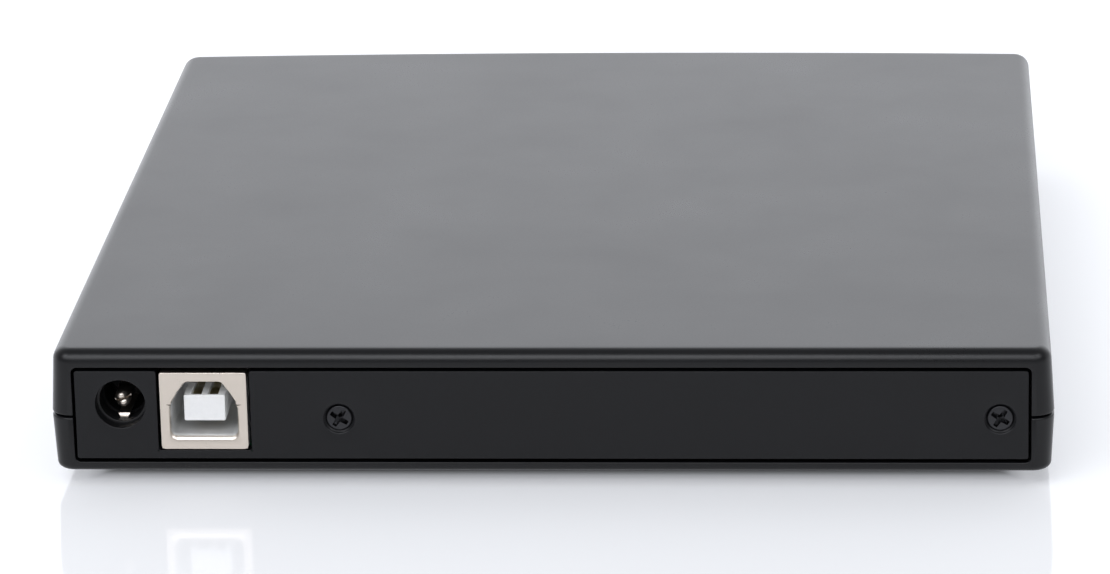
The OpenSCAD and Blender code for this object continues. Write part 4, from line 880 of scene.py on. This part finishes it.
class DRIVE_OT_data_socket(bpy.types.Operator):
    """Data socket: plated flange whose six-sided mouth rolls in along a power curve, white tongue with grooves,
    and gold contacts, which are half-round strips with a sine swell."""
    bl_idname = "drive.data_socket"
    bl_label = "Data socket"

    def execute(self, context):
        k = context.scene.drive_socket
        (x0, back, z0), (x1, face, z1) = SHELL
        x, half, top = (x0 + x1)/2, k.mouth_half/MM, k.mouth_top/MM
        base, high, knee = k.mouth_low/MM, k.mouth_high/MM, k.mouth_knee/MM
        lip, deep, nick = k.mouth_lip/MM, k.mouth_depth/MM, 0.13
        slope = np.array([top - half, high - knee])/math.hypot(top - half, high - knee)

        def sloped(distance, out=0.0):
            return half + slope[0]*distance + out, knee + slope[1]*distance

        right = [(half + 0.01, knee - nick - 0.3), (half, knee - nick), (half + 0.7, knee + 0.04),
                 sloped(nick), sloped(nick + 0.3), sloped(2, 0.12), (top, high)]
        corners = [(-half, base), (half, base), *right, *[(-u, v) for u, v in reversed(right)]]
        flank = [0.01, 0.01, 0.01, 0.01, 0.01, 3.0, 0.7]
        radii = np.array([0.7, 0.7, *flank, *flank[::-1]])
        edge, away = rounded(np.array(corners) + (x, 0), radii, 5)
        side_roll, low_roll, nicks = 0.28, 0.78, [3, 4, 5, 12, 13, 14]
        roll = np.full((len(corners), 5), side_roll)
        roll[0], roll[1] = np.linspace(side_roll, low_roll, 5), np.linspace(low_roll, side_roll, 5)
        roll[nicks] = 0
        mouth = edge, away*roll.reshape(-1, 1)
        border = rounded([(x0, z0), (x1, z0), (x1, z1), (x0, z1)], np.array([0.6, 0.6, 0.35, 0.35]))
        edge = 0.12
        into = [((1 - t)**1.8, lip*t**1.4) for t in np.linspace(0, 1, 12)] + [(0.0, 2.0), (0.0, deep)]
        strips = [(x0 + edge, x1 - edge, z0 + edge, z1 - edge, ((x, knee - 0.9), mouth, into))]
        skin = Skin()
        rim = over_edge(edge) + [(0.0, face - back)]
        plate(skin, to_rear(face), border, rim, strips, (0, 1, 0), floors=False)
        skin.build("data_shell", "data_socket_shell")
        tongue, tall = k.tongue_half/MM, k.tongue_height/MM
        t0 = (z0 + z1 - tall)/2 + 0.05
        t1 = t0 + tall
        tip = face - k.tongue_recess/MM
        rib, wing, floor = 0.45, 1.85, 0.5
        under = [(-tongue, t0), (-wing, t0), (-wing, t0 + floor), (-rib, t0 + floor), (-rib, t0), (rib, t0),
                 (rib, t0 + floor), (wing, t0 + floor), (wing, t0), (tongue, t0)]
        above = [(u, t0 + t1 - v) for u, v in reversed(under)]
        grooved = rounded(np.array(under + above) + (x, 0), 0.05, 4)
        skin = Skin()
        block(skin, lying, box_outline(x - tongue, x + tongue, t0, t1, 0.22), tip, tip - 0.55, 0.12)
        prism(skin, lying, grooved, [(0.0, tip - 0.45), (0.0, face - deep - 1)], (False, False))
        (i0, ib, iz0), (i1, _, iz1) = span("data_socket_insulator")
        block(skin, lying, box_outline(i0, i1, iz0, iz1, 0.2), face - deep - 0.1, ib, 0.1)
        skin.build("data_tongue", "data_socket_insulator")
        skin = Skin()
        s, a = np.linspace(0, 1, 25)[:, None], np.linspace(0, np.pi, 9)[None]
        y = tip - 0.6 - s*(deep - 0.6 - k.tongue_recess/MM)
        swell = 0.08*np.sin(a) + 0.22*np.sin(np.pi*np.clip(s/0.5, 0, 1))**2
        for cx in (x - (wing + rib)/2, x + (wing + rib)/2):
            for level, way in ((t0 + floor, -1), (t1 - floor, 1)):
                skin.grid(xyz(cx - 0.58*np.cos(a), y, level + way*swell), (0, 0, way))
        skin.build("data_contacts", "data_socket_contacts")
        return {"FINISHED"}


class DRIVE_OT_power_jack(bpy.types.Operator):
    """Power jack: body with a rounded bore; a pin whose nose, over polar coordinates, is two arched prongs with
    a slot between them; and a leaf, which is a flat section along a sine bow that drops at its tip."""
    bl_idname = "drive.power_jack"
    bl_label = "Power jack"

    def execute(self, context):
        k = context.scene.drive_socket
        (x0, back, z0), (x1, face, z1) = JACK
        x, level = (x0 + x1)/2, (PIN[0][2] + PIN[1][2])/2
        edge, bore = 0.2, circle(k.jack_bore/MM, x, level)
        into = over_edge(0.08, 5) + [(0.0, 3.0), (-0.25, 3.3), (-0.25, 10.0)]
        strips = [(x0 + edge, x1 - edge, z0 + edge, z1 - edge, ((x, level), bore, into))]
        rim = over_edge(edge) + [(0.0, face - back)]
        skin = Skin()
        plate(skin, to_rear(face), box_outline(x0, x1, z0, z1, 0.3), rim, strips, (0, 1, 0))
        skin.cap(lying(np.array([x0, x1, x1, x0]), np.array([z0, z0, z1, z1]), back), (0, -1, 0))
        skin.build("jack", "jack_body")
        r, tip = k.pin_radius/MM, PIN[1][1] + 1.1
        rho, theta = np.linspace(0, 1, 49)[:, None], np.linspace(0, 2*np.pi, 97)[None]
        u, v = r*rho*np.cos(theta), r*rho*np.sin(theta)
        twist, slot = 0.3, 0.12
        across = np.abs(v*math.cos(twist) + u*math.sin(twist))
        along = u*math.cos(twist) - v*math.sin(twist)
        arch = np.clip((across - 0.5*r)/(0.5*r), -1, 1)
        prong = 0.5*(1 - np.sqrt(1 - 0.96*arch**2)) + 0.7*along**2
        split = 1.2*np.clip((slot - across)/0.05, 0, 1)
        nose = xyz(x + u, tip - np.minimum(np.maximum(prong + 0.25*rho**4, split), 1.25), level + v)
        skin = Skin()
        skin.grid(nose, (0, 1, 0))
        ring = nose[-1]
        side = np.stack([ring, *[ring*(1, 0, 1) + (0, d, 0) for d in (tip - 1.3, PIN[0][1])]])
        skin.grid(side, side - np.array([x, 0, level])*(1, 0, 1) - side*(0, 1, 0))
        skin.cap(side[-1][:-1], (0, -1, 0))
        skin.build("pin", "jack_pin")
        low, high = span("jack_spring")
        half, thick, longer, bend = 0.85, 0.24, 0.8, 0.96
        section = box_outline(-half, half, -thick/2, thick/2, 0.1, 4)[0]
        s = np.linspace(0, 1, 33)[:, None]
        ramp = np.clip((s - bend)/0.04, 0, 1)
        bow = 0.24*np.sin(np.pi/2*np.clip(s/bend, 0, 1))**2
        leaf = xyz(x + section[None, :, 0]*(1 - 0.35*ramp**2), low[1] + (high[1] + longer - low[1])*s,
                   low[2] + 0.15 + bow - 0.4*ramp**1.8 + section[None, :, 1])
        skin = Skin()
        skin.grid(leaf, leaf - leaf.mean(axis=1, keepdims=True), wrap=True)
        skin.cap(leaf[0], (0, -1, 0))
        skin.cap(leaf[-1], (0, 1, 0))
        skin.build("leaf", "jack_spring")
        return {"FINISHED"}


# Tray front

class DRIVE_OT_bezel(bpy.types.Operator):
    """Tray bezel, bowed as a parabola across its width, with its button window, light pipe and release hole,
    and the eject button with rounded edges."""
    bl_idname = "drive.bezel"
    bl_label = "Bezel and button"

    def execute(self, context):
        c = context.scene.drive_case
        (x0, _, z0), (x1, back, z1) = BEZEL
        cx, bow, depth = (c.half_width - c.corner)/MM, c.bow/MM, c.half_depth/MM
        (b0, by0, bz0), (b1, by1, bz1) = BUTTON
        (p0, py0, pz0), (p1, py1, pz1) = span("indicator_pipe")
        r, wall, pin = 0.4, 3.2, (34.5, 6.5)

        def lift(x, z, inward):
            return lying(x, z, np.minimum(bow*(np.asarray(x)/cx)**2 - depth + inward, back))

        def window(u0, u1, w0, w1, gap, radius):
            outline = box_outline(u0 - gap, u1 + gap, w0 - gap, w1 + gap, radius)
            return ((u0 + u1)/2, (w0 + w1)/2), outline, over_edge(0.18) + [(0.0, wall)]

        cuts = [x0 + r, 28, 38.2, (p1 + b0)/2, 60, x1 - r]
        release = pin, circle(0.65, *pin, steps=48), over_edge(0.2) + [(0.0, wall)]
        holes = [None, release, window(p0, p1, pz0, pz1, 0.1, 0.15), window(b0, b1, bz0, bz1, 0.3, 0.8), None]
        strips = [(a, b, z0 + r, z1 - r, hole) for a, b, hole in zip(cuts, cuts[1:], holes)]
        rim = over_edge(r, 7) + [(0.0, wall), (r, wall)]
        skin = Skin()
        plate(skin, lift, box_outline(x0, x1, z0, z1, 0.6), rim, strips, (0, -1, 0), floors=False)
        skin.build("bezel", "tray_bezel")
        skin = Skin()
        rows = [(0.85, by0), (0.65, by0 + 0.02)]
        rows += [(inset, by0 + 0.06 + deep) for inset, deep in over_edge(0.45, 8)] + [(0.0, back - 0.8)]
        prism(skin, lying, box_outline(b0, b1, bz0, bz1, 0.95), rows)
        mid, level = (b0 + b1)/2, (bz0 + bz1)/2
        stem = box_outline(mid - 1.6, mid + 1.6, level - 1, level + 1, 0.2)
        prism(skin, lying, stem, [(0.0, by0 + 1), (0.0, by1)])
        skin.build("button", "eject_button")
        skin = Skin()
        block(skin, lying, box_outline(p0, p1, pz0, pz1, 0.2), py0, py1, 0.12)
        skin.build("light_pipe", "indicator_pipe")
        return {"FINISHED"}


# Pieces built apart from the moving bodies

class DRIVE_OT_ribbon(bpy.types.Operator):
    """Flat cable: a thin section carried along its lower leg and loop, and along its upper leg."""
    bl_idname = "drive.ribbon"
    bl_label = "Ribbon cable"

    def execute(self, context):
        (x0, loop, z0), (x1, y1, z1) = span("ribbon_cable")
        thick = 0.2
        radius = (z1 - z0 - thick)/2
        centre_y, centre_z = loop + radius + thick/2, (z0 + z1)/2
        end = span("ribbon_socket")[0][1]
        wide, thin = box_outline(x0, x1, -thick/2, thick/2, 0.06, 3)[0].T

        def carried(y, z, ny, nz):
            """The section set square to the path at each of its points."""
            y, z, ny, nz = (v[:, None] for v in (y, z, ny, nz))
            p = xyz(wide, y + ny*thin, z + nz*thin)
            skin = Skin()
            skin.grid(p, p - p.mean(axis=1, keepdims=True), wrap=True)
            return skin

        low = np.linspace(y1, centre_y, 60)
        turn = np.linspace(0, np.pi, 25)[1:]
        flat = np.zeros_like(low)
        lower = carried(np.concatenate([low, centre_y - radius*np.sin(turn)]),
                        np.concatenate([flat + centre_z - radius, centre_z - radius*np.cos(turn)]),
                        np.concatenate([flat, np.sin(turn)]), np.concatenate([flat + 1, np.cos(turn)]))
        lower = lower.build("ribbon_lower", "ribbon_cable", ride=False)
        high = np.linspace(centre_y, end, 50)
        flat = np.zeros_like(high)
        upper = carried(high, flat + centre_z + radius, flat, flat - 1)
        upper = upper.build("ribbon_upper", "ribbon_cable", ride=False)
        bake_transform(lower)
        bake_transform(upper)
        return {"FINISHED"}


class DRIVE_OT_spring(bpy.types.Operator):
    """Plunger spring: a round wire carried along a helix."""
    bl_idname = "drive.spring"
    bl_label = "Plunger spring"

    def execute(self, context):
        (x0, y0, z0), (x1, y1, z1) = span("eject_spring")
        wire, turns = 0.25, 9
        mean = (z1 - z0)/2 - wire
        x, z = (x0 + x1)/2, (z0 + z1)/2
        t = np.linspace(0, 1, turns*28 + 1)[:, None]
        a = np.linspace(0, 2*np.pi, 10, endpoint=False)[None]
        turn = 2*np.pi*turns*t

        def helix(r, shift):
            return xyz(x + r*np.cos(turn), y0 + wire + (y1 - y0 - 2*wire)*t + shift, z + r*np.sin(turn))

        coil = helix(mean + wire*np.cos(a), wire*np.sin(a))
        skin = Skin()
        skin.grid(coil, coil - helix(mean, 0), wrap=True)
        skin.cap(coil[0], (0, 0, -1))
        skin.cap(coil[-1], (0, 0, 1))
        spring = skin.build("spring", "eject_spring", ride=False)
        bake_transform(spring)
        return {"FINISHED"}


# CAD nodes that show as they are

def soften():
    """Node group that shades a mesh smooth, apart from its edges over 30 degrees."""
    group = bpy.data.node_groups.get("soften")
    if group:
        return group
    group = bpy.data.node_groups.new("soften", "GeometryNodeTree")
    group.interface.new_socket("Geometry", in_out="INPUT", socket_type="NodeSocketGeometry")
    group.interface.new_socket("Geometry", in_out="OUTPUT", socket_type="NodeSocketGeometry")
    nodes = group.nodes
    start, end = nodes.new("NodeGroupInput"), nodes.new("NodeGroupOutput")
    whole, edges = nodes.new("GeometryNodeSetShadeSmooth"), nodes.new("GeometryNodeSetShadeSmooth")
    edges.domain = "EDGE"
    edges.inputs["Shade Smooth"].default_value = False
    angle, sharp = nodes.new("GeometryNodeInputMeshEdgeAngle"), nodes.new("FunctionNodeCompare")
    sharp.operation = "GREATER_THAN"
    sharp.inputs[1].default_value = math.radians(30)
    for a, b in ((start.outputs[0], whole.inputs[0]), (whole.outputs[0], edges.inputs[0]),
                 (angle.outputs[0], sharp.inputs[0]), (sharp.outputs[0], edges.inputs["Selection"]),
                 (edges.outputs[0], end.inputs[0])):
        group.links.new(a, b)
    return group


def dress(name, edge):
    """Gives a CAD node its finish, and small rounded edges where edge, in millimetres, isn't 0."""
    item = frame["nodes"][name]

    def modify(kind, **settings):
        modifier = item.modifiers.new(kind.lower(), kind)
        for key, value in settings.items():
            setattr(modifier, key, value)

    item.data.materials.clear()
    item.data.materials.append(finish(SLOT_OF[name]))
    modify("WELD", merge_threshold=1e-6)
    if edge:
        modify("DECIMATE", decimate_type="DISSOLVE", angle_limit=math.radians(0.5))
        modify("BEVEL", width=edge*MM, segments=2, limit_method="ANGLE", angle_limit=math.radians(40),
               use_clamp_overlap=True)
    modify("NODES", node_group=soften())
    modify("WEIGHTED_NORMAL", keep_sharp=True)


class DRIVE_OT_mechanism(bpy.types.Operator):
    """Tray, rails, motors, pickup and boards: the CAD nodes with their own finishes and rounded edges."""
    bl_idname = "drive.mechanism"
    bl_label = "Tray and mechanism"

    def execute(self, context):
        unrounded, edge = ("drive_screw", "motor_stator"), 0.12
        for name, item in frame["nodes"].items():
            if not item.hide_render:
                dress(name, 0 if name in unrounded else edge)
        return {"FINISHED"}


# Stage

COOL = (0.935, 0.955, 1.0)


def softbox(name, bearing, elevation, distance, width, height, radiance, matt=True):
    """An area lamp that looks at the drive and stays out of the camera's sight. Bearings are in degrees, from
    the rear of the drive towards its right. Without matt, only glossy surfaces show it."""
    a, e = math.radians(bearing), math.radians(elevation)
    place = distance*Vector((math.sin(a)*math.cos(e), math.cos(a)*math.cos(e), math.sin(e)))
    lamp = bpy.data.lights.new(name, "AREA")
    lamp.shape = "RECTANGLE"
    lamp.size, lamp.size_y = width, height
    lamp.energy = math.pi*radiance*width*height
    lamp.color = COOL
    box = bpy.data.objects.new(name, lamp)
    box.location = place
    box.rotation_euler = (-place).to_track_quat("-Z", "Y").to_euler()
    box.visible_camera = False
    box.visible_diffuse = matt
    bpy.context.scene.collection.objects.link(box)


def rays(f):
    """Whether a ray comes from the camera, off a glossy surface or through a clear one: 1 or 0 for each."""
    return [f.node("ShaderNodeLightPath", out=n) for n in (0, 3, 6)]


def lay_floor(scene):
    """Pale glossy floor. Its glow, which lights no other surface, is painted light shaped into a painted
    shadow: it fades out under the case and has a painted brighter band near the case's edges.
    """
    s, c = scene.drive_stage, scene.drive_case
    reach, drop = np.linspace(-6000, 6000, 3), -0.05
    skin = Skin()
    skin.grid(xyz(*np.meshgrid(reach, reach), drop), (0, 0, 1))
    mesh = skin.mesh("floor", 35)
    floor = bpy.data.objects.new("floor", mesh)
    scene.collection.objects.link(floor)
    paint = bpy.data.materials.new("floor")
    paint.use_nodes = True
    f = Finish(paint.node_tree)
    place = f.place()
    cloud = f.noise(place, 0.01, 2.0)
    camera, glossy, through = rays(f)
    beside = [f.maths("ABSOLUTE", f.axis(place, n)) - half/MM
              for n, half in enumerate((c.half_width, c.half_depth))]
    off = f.maths("MAXIMUM", *beside)
    # Painted shadow and light: the glow is 0 deep under the case, peaks in a painted brighter band near the
    # case's edges and settles to its plain level further out.
    spread = f.ramp(off/40 + 0.5, (0.295, 0.0), (0.33, 0.3), (0.36, 0.73), (0.405, 1.0), (0.4575, 0.8),
                    (0.5125, 0.71), (0.65, 0.667))
    glow_with_painted_shadow = (camera + glossy + through)*spread
    pale = f.mix(cloud, shade(s.floor, 0.985), shade(s.floor, 1.015))
    f.surface(Base_Color=pale, Roughness=0.05 + cloud*0.04, IOR=1.33,
              Emission_Color=f.mix(glow_with_painted_shadow, (0, 0, 0), shade(s.glow, 1.5)), Emission_Strength=1.0)
    mesh.materials.append(paint)


def light_room(scene):
    """Room that is white to the camera and through clear pieces, graded in reflections, even elsewhere."""
    world = bpy.data.worlds.new("room")
    world.use_nodes = True
    scene.world = world
    f = Finish(world.node_tree)
    camera, glossy, through = rays(f)
    way = f.node("ShaderNodeTexCoord", out=0)
    over = f.maths("ARCTAN2", f.axis(way, 1), f.axis(way, 2))/math.pi + 0.5
    room = f.ramp(over, (0.0, 1.0), (0.20, 0.96), (0.36, 0.55), (0.46, 0.42), (0.60, 0.40), (1.0, 0.36))
    plain = f.maths("MAXIMUM", camera, through)
    lit = glossy*room + (1 - glossy)*scene.drive_stage.ambient
    light = f.node("ShaderNodeBackground", None,
                   {"Color": f.mix(plain, COOL, (1, 1, 1)), "Strength": plain + (1 - plain)*lit})
    f.node("ShaderNodeOutputWorld", None, {"Surface": light})


def aim_camera(scene):
    """Camera at its place: turned from straight ahead, tilted below the horizon and rolled."""
    s = scene.drive_stage
    level, fall = math.cos(s.tilt), math.sin(s.tilt)
    ahead = np.array([math.sin(s.turn)*level, -math.cos(s.turn)*level, -fall])
    right = np.array([-math.cos(s.turn), -math.sin(s.turn), 0])
    down = np.cross(ahead, right)
    across = math.cos(s.roll)*right + math.sin(s.roll)*down
    up = math.sin(s.roll)*right - math.cos(s.roll)*down
    data = bpy.data.cameras.new("camera")
    data.sensor_fit = "HORIZONTAL"
    data.sensor_width = 36
    data.lens = s.focal
    data.clip_start, data.clip_end = 0.05, 50
    camera = bpy.data.objects.new("camera", data)
    scene.collection.objects.link(camera)
    rows = [[across[i], up[i], -ahead[i], s.camera[i]] for i in range(3)]
    camera.matrix_world = Matrix(rows + [[0, 0, 0, 1]])
    scene.camera = camera


class DRIVE_OT_stage(bpy.types.Operator):
    """Pale floor, white room, softboxes, the light beyond the drive and the camera."""
    bl_idname = "drive.stage"
    bl_label = "Stage"

    def execute(self, context):
        scene, s = context.scene, context.scene.drive_stage
        lay_floor(scene)
        light_room(scene)
        near, far = 1.5, 1.9
        # Bearing, elevation, distance, width, height and radiance of each lamp
        softbox("key", 24, 41, near, 1.08, 0.86, s.key)
        softbox("fill", -52, 40, near, 0.5, 0.6, s.fill, matt=False)
        softbox("sheen_right", 54, 41, near, 0.5, 0.86, s.sheen, matt=False)
        softbox("sheen_left", -18, 41, near, 1.2, 0.86, s.sheen, matt=False)
        softbox("backdrop", 180, 18, far, 3.4, 1.25, s.backdrop)
        aim_camera(scene)
        scene.view_settings.view_transform = "Standard"
        return {"FINISHED"}


class DRIVE_PT_panel(bpy.types.Panel):
    """Lists the settings and the steps that dress the drive."""
    bl_label = "Disc drive"
    bl_idname = "DRIVE_PT_panel"
    bl_space_type = "VIEW_3D"
    bl_region_type = "UI"
    bl_category = "Disc drive"

    def draw(self, context):
        for key in GROUPS:
            group = getattr(context.scene, key)
            column = self.layout.column()
            for name in group.__annotations__:
                column.prop(group, name)
        for step in STEPS:
            self.layout.operator(step.bl_idname)


STEPS = [DRIVE_OT_case, DRIVE_OT_feet, DRIVE_OT_panel, DRIVE_OT_screws, DRIVE_OT_data_socket,
         DRIVE_OT_power_jack, DRIVE_OT_bezel, DRIVE_OT_ribbon, DRIVE_OT_spring, DRIVE_OT_mechanism,
         DRIVE_OT_stage]
GROUPS = {"drive_case": CaseSettings, "drive_socket": SocketSettings, "drive_finish": FinishSettings,
          "drive_stage": StageSettings}


def register():
    for item in [*GROUPS.values(), *STEPS, DRIVE_PT_panel]:
        bpy.utils.register_class(item)
    for name, group in GROUPS.items():
        setattr(bpy.types.Scene, name, PointerProperty(type=group))


def unregister():
    for name in GROUPS:
        delattr(bpy.types.Scene, name)
    for item in reversed([*GROUPS.values(), *STEPS, DRIVE_PT_panel]):
        bpy.utils.unregister_class(item)


def main():
    register()
    for step in STEPS:
        group, name = step.bl_idname.split(".")
        getattr(getattr(bpy.ops, group), name)()
    bpy.context.view_layer.update()


if __name__ == "__main__":
    main()
